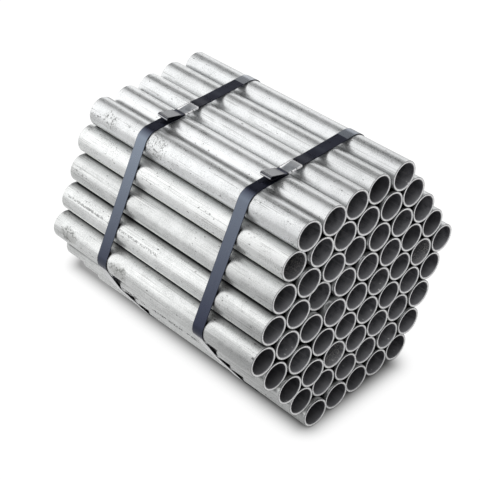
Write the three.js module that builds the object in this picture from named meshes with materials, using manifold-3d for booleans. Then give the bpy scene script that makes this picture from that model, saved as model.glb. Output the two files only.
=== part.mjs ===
// A hexagonal bundle of galvanised steel tubes, held together by two steel straps.
//
// Millimetres. X runs across the bundle, Y along the tubes (front ends at -Y), Z up.
// The origin is at the middle of the underside, on the surface that the bundle lies on.
//
// Every layer of tubes is one solid with an open bore in each tube. The layers are stacked
// in the grooves of the one below. Each strap is one open strip that laps over itself on
// the top side, where a folded sheet seal is crimped round both thicknesses.

import * as THREE from 'three';
import { mergeVertices } from 'three/addons/utils/BufferGeometryUtils.js';
import Module from 'manifold-3d';

const wasm = await Module();
wasm.setup();

// ---------------------------------------------------------------- driving dimensions

// Tubes
const TUBE_OD = 48.3;
const TUBE_WALL = 4;
const TUBE_LENGTH = 454;
const TUBES_PER_SIDE = 5; // tubes along each of the six sides of the hexagon
const LENGTH_RAKE = 0.025; // the far ends run out of square by this much per unit across
const LINE_BITE = 0.1; // neighbours in a layer are pressed together by this much
const LAYER_GAP = 0.1; // clearance between the tubes of one layer and the next

// How far each tube's front end sits behind the front plane, by layer from the top
const END_SHIFTS = [
  [0, -1, 2, 4, 0],
  [6, 0, 2, 2, 1, 1],
  [2, 2, 0, 5, 1, 0, 0],
  [0, 0, 6, 1, 1, 0, 1, 1],
  [-2, -2, -1, -2, 0, 0, 1, 1, 0],
  [-2, -4, -2, -1, 0, 0, 1, 1],
  [-6, -5, -1, 0, 0, 2, 0],
  [-4, -1, -2, 2, 0, -1],
  [-8, -5, -2, 1, 2],
];

// Straps
const STRAP_WIDTH = 22;
const STRAP_THICKNESS = 1;
const STRAP_GAP = 0.3; // clearance between strap and tubes
const LAP_GAP = 0.2; // clearance between the two thicknesses where the strap laps
const FRONT_STRAP_Y = 109; // middle of the front strap, behind the front plane
const BACK_STRAP_Y = 331.5; // middle of the back strap, behind the front plane
const LOWER_END_REACH = 3; // the covered end runs on past the seal by this much
const LOWER_END_GAP = 0.5; // from the covered end to where the strap comes down
const RAMP_RUN = 22; // length over which the strap comes down to the tubes
const TAIL_RUN = 32; // the free end, measured across from the seal's mouth
const FRONT_TAIL_RISE = 11; // height of the front strap's free end over the seal's mouth
const BACK_TAIL_RISE = 8.5; // height of the back strap's free end over the seal's mouth
const TAIL_BEND = 4; // radius of the bend by which the free end leaves the seal
const FOLD_RADIUS = 0.9; // inside radius where the free end is folded back over itself
const FOLD_SETBACK = 4.5; // the folded leaf stops short of the seal's mouth by this much

// Seals
const SEAL_LENGTH = 27;
const SEAL_SHIFT = 1.4; // how far the seal sits off the middle of a groove
const SEAL_SHEET = 0.8; // sheet thickness
const SEAL_SLACK = 0.2; // clearance round the two thicknesses of strap
const SEAL_MOUTH = 5; // opening between the two lips on the underside
const SEAL_CORNER = 0.8; // clipped off each corner, seen from above
const NOTCH_LENGTH = 3.4; // crimped notch, along the strap
const NOTCH_DEPTH = 1.5; // crimped notch, in from the seal's edge
const NOTCH_PLACES = [11, 21]; // middles of the notches from the seal's right-hand end

// Roundness: a multiple of six, so that flats face the neighbouring tubes
const FACETS = 24;
const FOLD_STEPS = 6;
const BEND_STEPS = 3;

// ---------------------------------------------------------------- derived sizes

const DEG = Math.PI / 180;
const SIXTH = 60 * DEG;
const HALF_FACET = Math.PI / FACETS;
const tubeRadius = TUBE_OD / 2;
const boreRadius = tubeRadius - TUBE_WALL;
const pitch = TUBE_OD - LINE_BITE;
const layerRise = (TUBE_OD + LAYER_GAP - (pitch / 2) * Math.cos(SIXTH)) / Math.sin(SIXTH);
const sidePitches = TUBES_PER_SIDE - 1;
const layerCount = 2 * sidePitches + 1;
const strapLevel = sidePitches * layerRise + tubeRadius + STRAP_GAP; // inner face, top side
const lapLevel = strapLevel + STRAP_THICKNESS + LAP_GAP;
const grooveX = sidePitches % 2 ? 0 : -pitch / 2; // the groove next to the middle
const sealX = grooveX - SEAL_SHIFT;
const sealMouthX = sealX - SEAL_LENGTH / 2;
const lowerEndX = sealX + SEAL_LENGTH / 2 + LOWER_END_REACH;

// ---------------------------------------------------------------- materials

const galvanised = new THREE.MeshStandardMaterial({
  color: 0xc4c8ca, metalness: 0.85, roughness: 0.38,
});
const bluedSteel = new THREE.MeshStandardMaterial({
  color: 0x2f3342, metalness: 0.6, roughness: 0.42,
});
const zincSheet = new THREE.MeshStandardMaterial({
  color: 0x9a9da0, metalness: 0.85, roughness: 0.35,
});

// ---------------------------------------------------------------- booleans

// A closed three.js geometry as a solid that can be joined or cut.
function toSolid(geometry) {
  const bare = geometry.clone();
  bare.deleteAttribute('normal');
  bare.deleteAttribute('uv');
  const merged = mergeVertices(bare, 1e-4);
  return new wasm.Manifold(new wasm.Mesh({
    numProp: 3,
    vertProperties: new Float32Array(merged.attributes.position.array),
    triVerts: new Uint32Array(merged.index.array),
  }));
}

// The solid's triangles as a three.js geometry.
function toGeometry(solid) {
  const { vertProperties, triVerts } = solid.getMesh();
  const geometry = new THREE.BufferGeometry();
  geometry.setAttribute('position', new THREE.Float32BufferAttribute(vertProperties, 3));
  geometry.setIndex(Array.from(triVerts));
  geometry.computeVertexNormals();
  return geometry;
}

// ---------------------------------------------------------------- tubes

// Number of tubes in a layer counted from the top.
function tubesInLayer(layer) {
  return TUBES_PER_SIDE + Math.min(layer, layerCount - 1 - layer);
}

// One tube as a turned ring, its flats facing the six neighbours.
// Both polygons lie outside their true circles, so the flats are a full wall apart.
function tubeGeometry(length) {
  const outer = tubeRadius / Math.cos(HALF_FACET);
  const inner = boreRadius / Math.cos(HALF_FACET);
  const section = [
    new THREE.Vector2(inner, 0),
    new THREE.Vector2(outer, 0),
    new THREE.Vector2(outer, length),
    new THREE.Vector2(inner, length),
    new THREE.Vector2(inner, 0),
  ];
  return new THREE.LatheGeometry(section, FACETS, HALF_FACET);
}

// A layer of tubes side by side, joined along their lines of contact.
function layerGeometry(layer) {
  const count = tubesInLayer(layer);
  let solid = null;
  for (let i = 0; i < count; i += 1) {
    const x = (i - (count - 1) / 2) * pitch;
    const shift = END_SHIFTS[layer]?.[i] ?? 0;
    const tube = tubeGeometry(TUBE_LENGTH - LENGTH_RAKE * x).translate(x, shift, 0);
    solid = solid ? solid.add(toSolid(tube)) : toSolid(tube);
  }
  return toGeometry(solid);
}

// ---------------------------------------------------------------- straps

// Middles of the six corner tubes, from the top left one round to the top right one.
function cornerTubes() {
  const half = (sidePitches / 2) * pitch;
  const full = sidePitches * pitch;
  const height = sidePitches * layerRise;
  return [
    new THREE.Vector2(-half, height),
    new THREE.Vector2(-full, 0),
    new THREE.Vector2(-half, -height),
    new THREE.Vector2(half, -height),
    new THREE.Vector2(full, 0),
    new THREE.Vector2(half, height),
  ];
}

// The strap's inner face round the bundle: it follows each corner tube's facets for a
// sixth of a turn, and runs straight over the crests in between.
function wrapPath() {
  const radius = (tubeRadius + STRAP_GAP) / Math.cos(HALF_FACET);
  const facetsPerCorner = FACETS / 6;
  const path = [];
  cornerTubes().forEach((centre, corner) => {
    for (let i = 0; i < facetsPerCorner; i += 1) {
      const angle = 90 * DEG + corner * SIXTH + (2 * i + 1) * HALF_FACET;
      path.push(new THREE.Vector2(Math.cos(angle), Math.sin(angle))
        .multiplyScalar(radius).add(centre));
    }
  });
  return path;
}

// The point reached from a start by going a length along a heading.
function goFrom(start, heading, length) {
  return new THREE.Vector2(Math.cos(heading), Math.sin(heading))
    .multiplyScalar(length).add(start);
}

// Points on a bend of the strap's inner face, turning clockwise from one heading to another.
function bendPoints(start, radius, fromHeading, toHeading, steps) {
  const centre = new THREE.Vector2(Math.sin(fromHeading), -Math.cos(fromHeading))
    .multiplyScalar(radius).add(start);
  const points = [];
  for (let i = 0; i <= steps; i += 1) {
    const heading = fromHeading + (toHeading - fromHeading) * (i / steps);
    points.push(new THREE.Vector2(-Math.sin(heading), Math.cos(heading))
      .multiplyScalar(radius).add(centre));
  }
  return points;
}

// The free end: out of the seal's mouth, up to the left, folded back over itself, and
// down again to a little short of the seal. Headings are measured from +X, and the strap
// leaves the seal heading for -X.
function tailPath(rise) {
  const slope = Math.atan2(rise, TAIL_RUN);
  const length = Math.hypot(rise, TAIL_RUN);
  const outward = 180 * DEG - slope;
  const mouth = new THREE.Vector2(sealMouthX, lapLevel);
  const bend = bendPoints(mouth, TAIL_BEND, 180 * DEG, outward, BEND_STEPS);
  const end = goFrom(bend[BEND_STEPS], outward, length);
  const foldRadius = FOLD_RADIUS + STRAP_THICKNESS;
  const fold = bendPoints(end, foldRadius, outward, -slope, FOLD_STEPS);
  const last = goFrom(fold[FOLD_STEPS], -slope, length - FOLD_SETBACK);
  return [...bend, ...fold, last];
}

// The whole strap's inner face, from its covered end to its free end.
function strapPath(tailRise) {
  const rampX = lowerEndX + LOWER_END_GAP;
  return [
    new THREE.Vector2(lowerEndX, strapLevel),
    ...wrapPath(),
    new THREE.Vector2(rampX + RAMP_RUN, strapLevel),
    new THREE.Vector2(rampX, lapLevel),
    ...tailPath(tailRise),
  ];
}

// The closed outline of a strip of even thickness whose inner face is the path. The outer
// face lies to the right of the direction of travel, with mitred corners.
function stripShape(path, thickness) {
  const normals = path.slice(1).map((point, i) => {
    const along = point.clone().sub(path[i]).normalize();
    return new THREE.Vector2(along.y, -along.x);
  });
  const outer = path.map((point, i) => {
    const before = normals[Math.max(i - 1, 0)];
    const after = normals[Math.min(i, normals.length - 1)];
    const mitre = before.clone().add(after).divideScalar(1 + before.dot(after));
    return mitre.multiplyScalar(thickness).add(point);
  });
  return new THREE.Shape([...path, ...outer.reverse()]);
}

// A shape in the X-Z plane given a width along Y, about a middle plane.
function extrudeAcross(shape, width, middleY) {
  const geometry = new THREE.ExtrudeGeometry(shape, { depth: width, bevelEnabled: false });
  return geometry.rotateX(90 * DEG).translate(0, middleY + width / 2, 0);
}

function strapGeometry(middleY, tailRise) {
  const shape = stripShape(strapPath(tailRise), STRAP_THICKNESS);
  return toGeometry(toSolid(extrudeAcross(shape, STRAP_WIDTH, middleY)));
}

// ---------------------------------------------------------------- seals

// Half sizes of the folded seal's cavity and of its outside, and its levels.
const sealCavity = STRAP_WIDTH / 2 + SEAL_SLACK;
const sealHalfWidth = sealCavity + SEAL_SHEET;
const sealFloor = strapLevel - SEAL_SLACK;
const sealRoof = lapLevel + STRAP_THICKNESS + SEAL_SLACK;

// The seal's section across the strap: a sheet folded round both thicknesses, with its
// two lips underneath. Outside corners are rounded by the sheet thickness.
function sealSection() {
  const lip = SEAL_MOUTH / 2;
  const shape = new THREE.Shape();
  shape.moveTo(lip, sealFloor - SEAL_SHEET);
  shape.absarc(sealCavity, sealFloor, SEAL_SHEET, -90 * DEG, 0, false);
  shape.absarc(sealCavity, sealRoof, SEAL_SHEET, 0, 90 * DEG, false);
  shape.absarc(-sealCavity, sealRoof, SEAL_SHEET, 90 * DEG, 180 * DEG, false);
  shape.absarc(-sealCavity, sealFloor, SEAL_SHEET, 180 * DEG, 270 * DEG, false);
  shape.lineTo(-lip, sealFloor - SEAL_SHEET);
  shape.lineTo(-lip, sealFloor);
  shape.lineTo(-sealCavity, sealFloor);
  shape.lineTo(-sealCavity, sealRoof);
  shape.lineTo(sealCavity, sealRoof);
  shape.lineTo(sealCavity, sealFloor);
  shape.lineTo(lip, sealFloor);
  return shape;
}

// An upright prism over a triangle in plan, taller than the seal.
function plungeCut(corners) {
  const margin = SEAL_SHEET * 2;
  const bottom = sealFloor - margin;
  const depth = sealRoof + margin - bottom;
  const shape = new THREE.Shape(corners);
  const prism = new THREE.ExtrudeGeometry(shape, { depth, bevelEnabled: false });
  return toSolid(prism.translate(0, 0, bottom));
}

// A crimped seal: the folded sheet with its corners clipped and two notches in each edge.
function sealGeometry(middleY) {
  const folded = new THREE.ExtrudeGeometry(sealSection(), {
    depth: SEAL_LENGTH, bevelEnabled: false, curveSegments: 3,
  });
  // the section's X becomes Y, its Y becomes Z and the length runs along X
  folded.rotateX(90 * DEG).rotateZ(90 * DEG).translate(-SEAL_LENGTH / 2, 0, 0);
  let seal = toSolid(folded);
  for (const side of [-1, 1]) {
    const edge = side * sealHalfWidth;
    const outside = side * (sealHalfWidth + SEAL_SHEET);
    for (const place of NOTCH_PLACES) {
      const x = SEAL_LENGTH / 2 - place;
      const flare = NOTCH_LENGTH / 2 * (1 + SEAL_SHEET / NOTCH_DEPTH);
      seal = seal.subtract(plungeCut([
        new THREE.Vector2(x - flare, outside),
        new THREE.Vector2(x, edge - side * NOTCH_DEPTH),
        new THREE.Vector2(x + flare, outside),
      ]));
    }
    for (const end of [-1, 1]) {
      const tip = end * SEAL_LENGTH / 2;
      const reach = SEAL_CORNER + 2 * SEAL_SHEET;
      seal = seal.subtract(plungeCut([
        new THREE.Vector2(tip + end * SEAL_SHEET, edge + side * SEAL_SHEET),
        new THREE.Vector2(tip + end * SEAL_SHEET, edge - side * (reach - SEAL_SHEET)),
        new THREE.Vector2(tip - end * (reach - SEAL_SHEET), edge + side * SEAL_SHEET),
      ]));
    }
  }
  return toGeometry(seal).translate(sealX, middleY, 0);
}

// ---------------------------------------------------------------- assembly

const bundle = new THREE.Group();

function addPart(name, geometry, material, z = 0) {
  const mesh = new THREE.Mesh(geometry, material);
  mesh.name = name;
  mesh.position.z = z;
  bundle.add(mesh);
}

for (let layer = 0; layer < layerCount; layer += 1) {
  const height = (sidePitches - layer) * layerRise;
  addPart(`tube_row_${layer + 1}`, layerGeometry(layer), galvanised, height);
}
addPart('strap_front', strapGeometry(FRONT_STRAP_Y, FRONT_TAIL_RISE), bluedSteel);
addPart('strap_back', strapGeometry(BACK_STRAP_Y, BACK_TAIL_RISE), bluedSteel);
addPart('strap_seal_front', sealGeometry(FRONT_STRAP_Y), zincSheet);
addPart('strap_seal_back', sealGeometry(BACK_STRAP_Y), zincSheet);

// Put the origin at the middle of the underside.
const extent = new THREE.Box3().setFromObject(bundle);
const middle = extent.getCenter(new THREE.Vector3());
bundle.position.set(-middle.x, -middle.y, -extent.min.z);

export default bundle;
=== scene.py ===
"""Looks of a hexagonal bundle of galvanised steel tubes held by two steel straps.

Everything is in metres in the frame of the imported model: X across the bundle, Y along the
tubes with the front ends at -Y, Z up from the surface that the bundle lies on.
"""

import logging
import math
from dataclasses import dataclass, field
from enum import Enum

import bpy
import numpy as np
from mathutils import Matrix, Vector
from mathutils.geometry import convex_hull_2d
from numpy.typing import NDArray


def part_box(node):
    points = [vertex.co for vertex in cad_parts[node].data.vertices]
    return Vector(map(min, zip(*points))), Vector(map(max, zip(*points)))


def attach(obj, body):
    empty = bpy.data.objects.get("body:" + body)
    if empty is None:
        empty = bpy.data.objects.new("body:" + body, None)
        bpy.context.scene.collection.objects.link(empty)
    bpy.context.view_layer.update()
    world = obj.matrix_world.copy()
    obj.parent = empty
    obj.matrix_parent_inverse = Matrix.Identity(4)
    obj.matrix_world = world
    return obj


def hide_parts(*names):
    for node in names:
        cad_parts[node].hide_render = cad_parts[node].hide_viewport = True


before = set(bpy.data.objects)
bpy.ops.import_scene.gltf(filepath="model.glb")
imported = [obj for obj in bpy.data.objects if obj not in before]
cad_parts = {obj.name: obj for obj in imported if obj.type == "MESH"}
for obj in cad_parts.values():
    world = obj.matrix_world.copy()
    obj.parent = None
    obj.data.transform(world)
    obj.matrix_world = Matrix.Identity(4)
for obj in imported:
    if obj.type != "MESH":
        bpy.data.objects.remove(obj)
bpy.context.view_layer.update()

Array = NDArray[np.float64]
Corners = NDArray[np.int64]
Colour = tuple[float, float, float]
Point = tuple[float, float, float]
Range = tuple[float, float]
TubeKey = tuple[int, int]
Node = bpy.types.Node
Socket = bpy.types.NodeSocket
Group = bpy.types.NodeTree
Material = bpy.types.Material

MM = 0.001
BODY = "root"
LAYERS = 9
FAR = 9.0

log = logging.getLogger("tube_bundle")


# ------------------------------------------------------------------ shapes


@dataclass
class Sheet:
    """A grid of points with its faces and the values painted on it.

    Attributes:
        points: (n, 3) positions in metres.
        quads: (m, 4) corner numbers, outward faces.
        paint: name of a point attribute to one value or one vector for each point.
    """

    points: Array
    quads: Corners
    paint: dict[str, Array] = field(default_factory=dict)

    def build(self, name: str, material: Material) -> bpy.types.Object:
        """Puts the sheet into a mesh object at the origin, with smooth faces.

        Args:
            name: the object's name.
            material: its only material.

        Returns:
            The new object, linked to the scene.
        """
        mesh = bpy.data.meshes.new(name)
        mesh.from_pydata(self.points.tolist(), [], self.quads.tolist())
        for key, values in self.paint.items():
            kind, slot = ("FLOAT_VECTOR", "vector") if values.ndim == 2 else ("FLOAT", "value")
            layer = mesh.attributes.new(key, kind, "POINT")
            layer.data.foreach_set(slot, values.astype(np.float32).ravel())
        mesh.materials.append(material)
        mesh.shade_smooth()
        mesh.update()
        return linked(name, mesh)

    def finish(self, name: str, material: Material, slot: str, node: str) -> None:
        """Builds a piece, hangs it under the body's empty, hides the node that it stands for and
        logs its slot.

        Args:
            name: the piece's name.
            material: its finish.
            slot: the name of its material slot, which is logged.
            node: the CAD node that the piece stands for, which is hidden.
        """
        piece = self.build(name, material)
        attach(piece, BODY)
        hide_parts(node)
        log.info("%s: %d faces, slot %s", name, len(piece.data.polygons), slot)


def linked(name: str, data: bpy.types.ID) -> bpy.types.Object:
    """A new object that holds the data and is linked to the scene."""
    made = bpy.data.objects.new(name, data)
    bpy.context.scene.collection.objects.link(made)
    return made


def grid_quads(rows: int, columns: int, round_rows: bool) -> Corners:
    """Corner numbers of the faces of a grid stored row by row, whose last column joins the first.

    Args:
        rows: points along the first parameter.
        columns: points along the second parameter.
        round_rows: True if the last row joins the first too.

    Returns:
        An (m, 4) array; face (i, j) has corners (i, j), (i+1, j), (i+1, j+1), (i, j+1).
    """
    i = np.arange(rows if round_rows else rows - 1)[:, None]
    j = np.arange(columns)[None, :]
    here, right = i * columns, ((i + 1) % rows) * columns
    after = (j + 1) % columns
    corners = np.stack([here + j, right + j, right + after, here + after], axis=-1)
    return corners.reshape(-1, 4)


def end_caps(left: Corners, right: Corners, last: int) -> Corners:
    """Faces across the two ends of a grid, between two runs of points of its section.

    Args:
        left: points along one side of the section.
        right: the points opposite to them.
        last: number of the first point of the last station.

    Returns:
        An (m, 4) array of corner numbers.
    """
    faces = np.stack([left[:-1], left[1:], right[1:], right[:-1]], axis=1)
    return np.vstack([faces, faces[:, ::-1] + last])


def arc_angles(start: float, end: float, steps: int) -> Array:
    """Evenly spaced angles from start to end, both included, in radians from degrees."""
    return np.radians(np.linspace(start, end, steps + 1))


def circle(turn: Array) -> Array:
    """(n, 2) points on the unit circle at the angles."""
    return np.stack([np.cos(turn), np.sin(turn)], axis=1)


def ramp(value: Array, start: float | Array, width: float) -> Array:
    """0 up to start and then evenly up to 1 over the width; a width below 0 falls instead."""
    return np.clip((value - start) / width, 0, 1)


def bell(value: Array, middle: float, width: float) -> Array:
    """exp(-((value - middle) / width) ** 2): 1 at the middle, 0 far from it."""
    return np.exp(-(((value - middle) / width) ** 2))


def ease(value: Array) -> Array:
    """The smooth step 3 v ** 2 - 2 v ** 3 of values from 0 to 1."""
    return value * value * (3 - 2 * value)


def centre(low: float, high: float) -> float:
    """The middle between two places."""
    return (low + high) / 2


# ------------------------------------------------------------------ shader building


class Tree:
    """Short calls that add nodes to one node tree."""

    def __init__(self, tree: Group) -> None:
        """Keeps the tree and starts empty."""
        self.tree = tree
        tree.nodes.clear()

    def feed(self, socket: Socket, value: object) -> None:
        """Links a socket to the input, or sets its plain value.

        Args:
            socket: the input.
            value: a socket, a number or a tuple.
        """
        if isinstance(value, Socket):
            self.tree.links.new(value, socket)
        elif isinstance(value, tuple) and socket.type == "RGBA":
            socket.default_value = (*value[:3], 1.0)
        else:
            socket.default_value = value

    def fill(self, node: Node, inputs: dict[str, object]) -> Node:
        """Gives a node its named inputs, underscores standing for spaces, and returns it."""
        for key, value in inputs.items():
            self.feed(node.inputs[key.replace("_", " ")], value)
        return node

    def add(self, kind: str, options: dict[str, object] | None = None, **inputs: object) -> Node:
        """Adds a node.

        Args:
            kind: the node's type name after ShaderNode.
            options: properties of the node itself.
            **inputs: values or sockets for its inputs, underscores standing for spaces.

        Returns:
            The new node.
        """
        node = self.tree.nodes.new("ShaderNode" + kind)
        for key, value in (options or {}).items():
            setattr(node, key, value)
        return self.fill(node, inputs)

    def effect(self, group: Group, **inputs: object) -> bpy.types.NodeOutputs:
        """Puts a shared effect into the tree with its own values; gives its outputs."""
        return self.add("Group", {"node_tree": group}, **inputs).outputs

    def math(self, operation: str, first: object, second: object = 0.0) -> Socket:
        """The result of a Math node on two numbers or sockets.

        Args:
            operation: the node's operation.
            first: its first number or socket.
            second: its second, if it has one.

        Returns:
            The node's result.
        """
        node = self.add("Math", {"operation": operation})
        self.feed(node.inputs[0], first)
        self.feed(node.inputs[1], second)
        return node.outputs[0]

    def chain(self, operation: str, terms: tuple[object, ...]) -> Socket:
        """The terms joined one after the other by the same operation.

        Args:
            operation: of the Math nodes.
            terms: numbers or sockets.

        Returns:
            The last result.
        """
        result = terms[0]
        for term in terms[1:]:
            result = self.math(operation, result, term)
        return result

    def times(self, *terms: object) -> Socket:
        """The product of numbers or sockets."""
        return self.chain("MULTIPLY", terms)

    def plus(self, *terms: object) -> Socket:
        """The sum of numbers or sockets."""
        return self.chain("ADD", terms)

    def minus(self, *terms: object) -> Socket:
        """The first number or socket less all the others."""
        return self.chain("SUBTRACT", terms)

    def most(self, *terms: object) -> Socket:
        """The largest of numbers or sockets."""
        return self.chain("MAXIMUM", terms)

    def distance(self, first: object, second: object) -> Socket:
        """How far apart two numbers or sockets are."""
        return self.math("ABSOLUTE", self.minus(first, second))

    def vector(self, operation: str, first: object, second: object = (0.0, 0.0, 0.0)) -> Socket:
        """The result of a Vector Math node, which is a value for a length or a dot product.

        Args:
            operation: the node's operation.
            first: its first vector or socket.
            second: its second, if it has one.

        Returns:
            The node's result.
        """
        node = self.add("VectorMath", {"operation": operation})
        self.feed(node.inputs[0], first)
        self.feed(node.inputs[1], second)
        return node.outputs["Value" if operation in ("LENGTH", "DOT_PRODUCT") else "Vector"]

    def span(
        self, value: object, low: float, high: float, to_low: float = 0.0, to_high: float = 1.0
    ) -> Socket:
        """The value carried smoothly from low..high onto to_low..to_high, held outside it."""
        ends = {"From_Min": low, "From_Max": high, "To_Min": to_low, "To_Max": to_high}
        node = self.add("MapRange", {"interpolation_type": "SMOOTHSTEP"}, Value=value, **ends)
        return node.outputs["Result"]

    def blend(self, factor: object, first: object, second: object) -> Socket:
        """The colour that goes from first to second as the factor goes from 0 to 1.

        Args:
            factor: a number or socket.
            first: a colour or socket.
            second: a colour or socket.

        Returns:
            The mixed colour.
        """
        node = self.add("Mix", {"data_type": "RGBA", "clamp_factor": True})
        for number, value in ((0, factor), (6, first), (7, second)):
            self.feed(node.inputs[number], value)
        return node.outputs[2]

    def coats(self, colour: object, *coats: tuple[object, object]) -> Socket:
        """The colour below coats laid one on the other, each a mask and its colour."""
        for mask, over in coats:
            colour = self.blend(mask, colour, over)
        return colour

    def noise(
        self, where: object, scale: float, detail: float = 2.0, roughness: float = 0.5
    ) -> Socket:
        """The value of a Noise texture, about 0.5 on average."""
        values = {"Scale": scale, "Detail": detail, "Roughness": roughness}
        return self.add("TexNoise", None, Vector=where, **values).outputs["Fac"]

    def bump(self, strength: float, distance: float, height: Socket, **normal: Socket) -> Socket:
        """The normal bent by a height that stands for so many metres."""
        values = {"Strength": strength, "Distance": distance, "Height": height}
        return self.add("Bump", None, **values, **normal).outputs[0]

    def painted(self, name: str, output: str = "Fac") -> Socket:
        """A painted point attribute of the piece."""
        return self.add("Attribute", {"attribute_name": name}).outputs[output]

    def own(self) -> Socket:
        """The piece's object coordinates."""
        return self.add("TexCoord").outputs["Object"]

    def axis(self, number: int) -> Socket:
        """One of the object coordinates: 0 for X, 1 for Y, 2 for Z."""
        return self.add("SeparateXYZ", None, Vector=self.own()).outputs[number]


def new_group(
    name: str, inputs: dict[str, float | None], outputs: tuple[str, ...]
) -> tuple[Tree, dict[str, Socket], dict[str, Socket]]:
    """Starts a shader node group with named sockets.

    Args:
        name: the group's name.
        inputs: socket name to its default number, or to None for a vector.
        outputs: names of the values that it gives.

    Returns:
        The tree, the sockets that bring its inputs and those that take its outputs.
    """
    group = bpy.data.node_groups.new(name, "ShaderNodeTree")
    tree = Tree(group)
    for key, default in inputs.items():
        kind = "NodeSocketVector" if default is None else "NodeSocketFloat"
        socket = group.interface.new_socket(key, in_out="INPUT", socket_type=kind)
        if default is not None:
            socket.default_value = default
    for key in outputs:
        group.interface.new_socket(key, in_out="OUTPUT", socket_type="NodeSocketFloat")
    given = group.nodes.new("NodeGroupInput").outputs
    result = group.nodes.new("NodeGroupOutput").inputs
    return tree, {one.name: one for one in given}, {one.name: one for one in result}


def new_material(name: str) -> tuple[Material, Tree, Node]:
    """A material with an empty tree, a Principled shader and its output.

    Args:
        name: the material's name.

    Returns:
        The material, its tree and the Principled node.
    """
    material = bpy.data.materials.new(name)
    material.use_nodes = True
    tree = Tree(material.node_tree)
    shader = tree.add("BsdfPrincipled")
    tree.add("OutputMaterial", None, Surface=shader.outputs[0])
    return material, tree, shader


class Effects:
    """Surface effects that several finishes share, each built once as a node group."""

    def __init__(self) -> None:
        """Builds every group."""
        self.mottle = self._mottle()
        self.lines = self._lines()
        self.specks = self._specks()
        self.scuff = self._scuff()
        self.dashes = self._dashes()

    def _mottle(self) -> Group:
        """Cloudy variation: broad clouds and finer crystals added in a stated share.

        Returns:
            The group.
        """
        inputs = {"Vector": None, "Broad": 40.0, "Fine": 300.0, "Fine share": 0.4}
        tree, given, result = new_group("mottle", inputs, ("Value",))
        share = given["Fine share"]
        broad, fine = (
            tree.noise(given["Vector"], given[scale], detail=3.0) for scale in ("Broad", "Fine")
        )
        both = tree.plus(tree.times(broad, tree.minus(1.0, share)), tree.times(fine, share))
        tree.feed(result["Value"], both)
        return tree.tree

    def _lines(self) -> Group:
        """Drawn lines: noise stretched along the second axis of the vector.

        Returns:
            The group.
        """
        inputs = {"Vector": None, "Across": 300.0, "Along": 8.0}
        tree, given, result = new_group("drawn_lines", inputs, ("Value",))
        across, along = given["Across"], given["Along"]
        scale = tree.add("CombineXYZ", None, X=across, Y=along, Z=across).outputs[0]
        stretched = tree.vector("MULTIPLY", given["Vector"], scale)
        tree.feed(result["Value"], tree.noise(stretched, 1.0, detail=4.0, roughness=0.6))
        return tree.tree

    def _specks(self) -> Group:
        """Small dark pits: the middles of some cells, each of its own size.

        They are drawn out along the second axis, and a fine noise makes them ragged.

        Returns:
            The group.
        """
        drawn_out, shove = (1.0, 0.6, 1.0), (0.0012, 0.0012, 0.0012)
        inputs = {"Vector": None, "Scale": 150.0, "Size": 0.16, "Kept": 0.2}
        tree, given, result = new_group("specks", inputs, ("Mask",))
        bent = tree.add("TexNoise", None, Vector=given["Vector"], Scale=900.0, Detail=2.0)
        place = tree.vector("MULTIPLY", given["Vector"], drawn_out)
        place = tree.vector("ADD", place, tree.vector("MULTIPLY", bent.outputs["Color"], shove))
        cells = tree.add("TexVoronoi", {"feature": "F1"}, Vector=place, Scale=given["Scale"])
        number = tree.add("SeparateColor", None, Color=cells.outputs["Color"]).outputs
        size = tree.times(given["Size"], number[1])
        dot = tree.math("LESS_THAN", cells.outputs["Distance"], size)
        tree.feed(result["Mask"], tree.times(dot, tree.math("LESS_THAN", number[0], given["Kept"])))
        return tree.tree

    def _scuff(self) -> Group:
        """A rubbed patch: a ragged disc round a centre, filled with wavy scratched lines.

        Returns:
            The group.
        """
        inputs = {"Vector": None, "Centre": None, "Radius": 0.012, "Stretch": 1.0, "Waves": 5.0}
        tree, given, result = new_group("scuff", inputs, ("Lines", "Disc"))
        where = given["Vector"]
        shorter = tree.math("DIVIDE", 1.0, given["Stretch"])
        squeeze = tree.add("CombineXYZ", None, X=1.0, Y=shorter, Z=1.0).outputs[0]
        off = tree.vector("MULTIPLY", tree.vector("SUBTRACT", where, given["Centre"]), squeeze)
        reach = tree.math("DIVIDE", tree.vector("LENGTH", off), given["Radius"])
        ragged = tree.times(tree.noise(where, 160.0, 3.0, 0.6), 0.9)
        disc = tree.span(tree.plus(reach, ragged), 1.2, 1.55, 1.0, 0.0)
        waves = tree.times(tree.noise(where, 75.0), given["Waves"])
        from_line = tree.distance(tree.math("FRACT", waves), 0.5)
        gaps = tree.span(tree.noise(where, 210.0), 0.36, 0.5)
        drawn = tree.times(tree.span(from_line, 0.05, 0.16, 1.0, 0.0), gaps)
        tree.feed(result["Lines"], tree.times(disc, drawn))
        tree.feed(result["Disc"], disc)
        return tree.tree

    def _dashes(self) -> Group:
        """Worn dashes in a painted band: the share of its half height, its start and its end.

        Returns:
            The group.
        """
        inputs = {"Vector": None, "Band": None}
        tree, given, result = new_group("worn_print", inputs, ("Mask",))
        share, start, end = tree.add("SeparateXYZ", None, Vector=given["Band"]).outputs
        along = tree.axis(1)
        inside = tree.math("LESS_THAN", tree.math("ABSOLUTE", share), 1.0)
        after = tree.math("GREATER_THAN", along, start)
        before = tree.math("LESS_THAN", along, end)
        strokes = tree.span(tree.noise(given["Vector"], 270.0, detail=1.0), 0.47, 0.5)
        worn = tree.span(tree.noise(given["Vector"], 75.0), 0.4, 0.5)
        tree.feed(result["Mask"], tree.times(inside, after, before, strokes, worn))
        return tree.tree


# ------------------------------------------------------------------ finishes


@dataclass(frozen=True)
class ScuffMark:
    """A rubbed patch on one tube.

    Attributes:
        centre: its middle, in metres.
        radius: in metres.
        stretch: how much longer it is along the tube.
        grey: how grey the rubbed disc is, from 0 to 1.
        waves: how many scratched lines fill it.
    """

    centre: Point
    radius: float
    stretch: float
    grey: float
    waves: float


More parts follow.
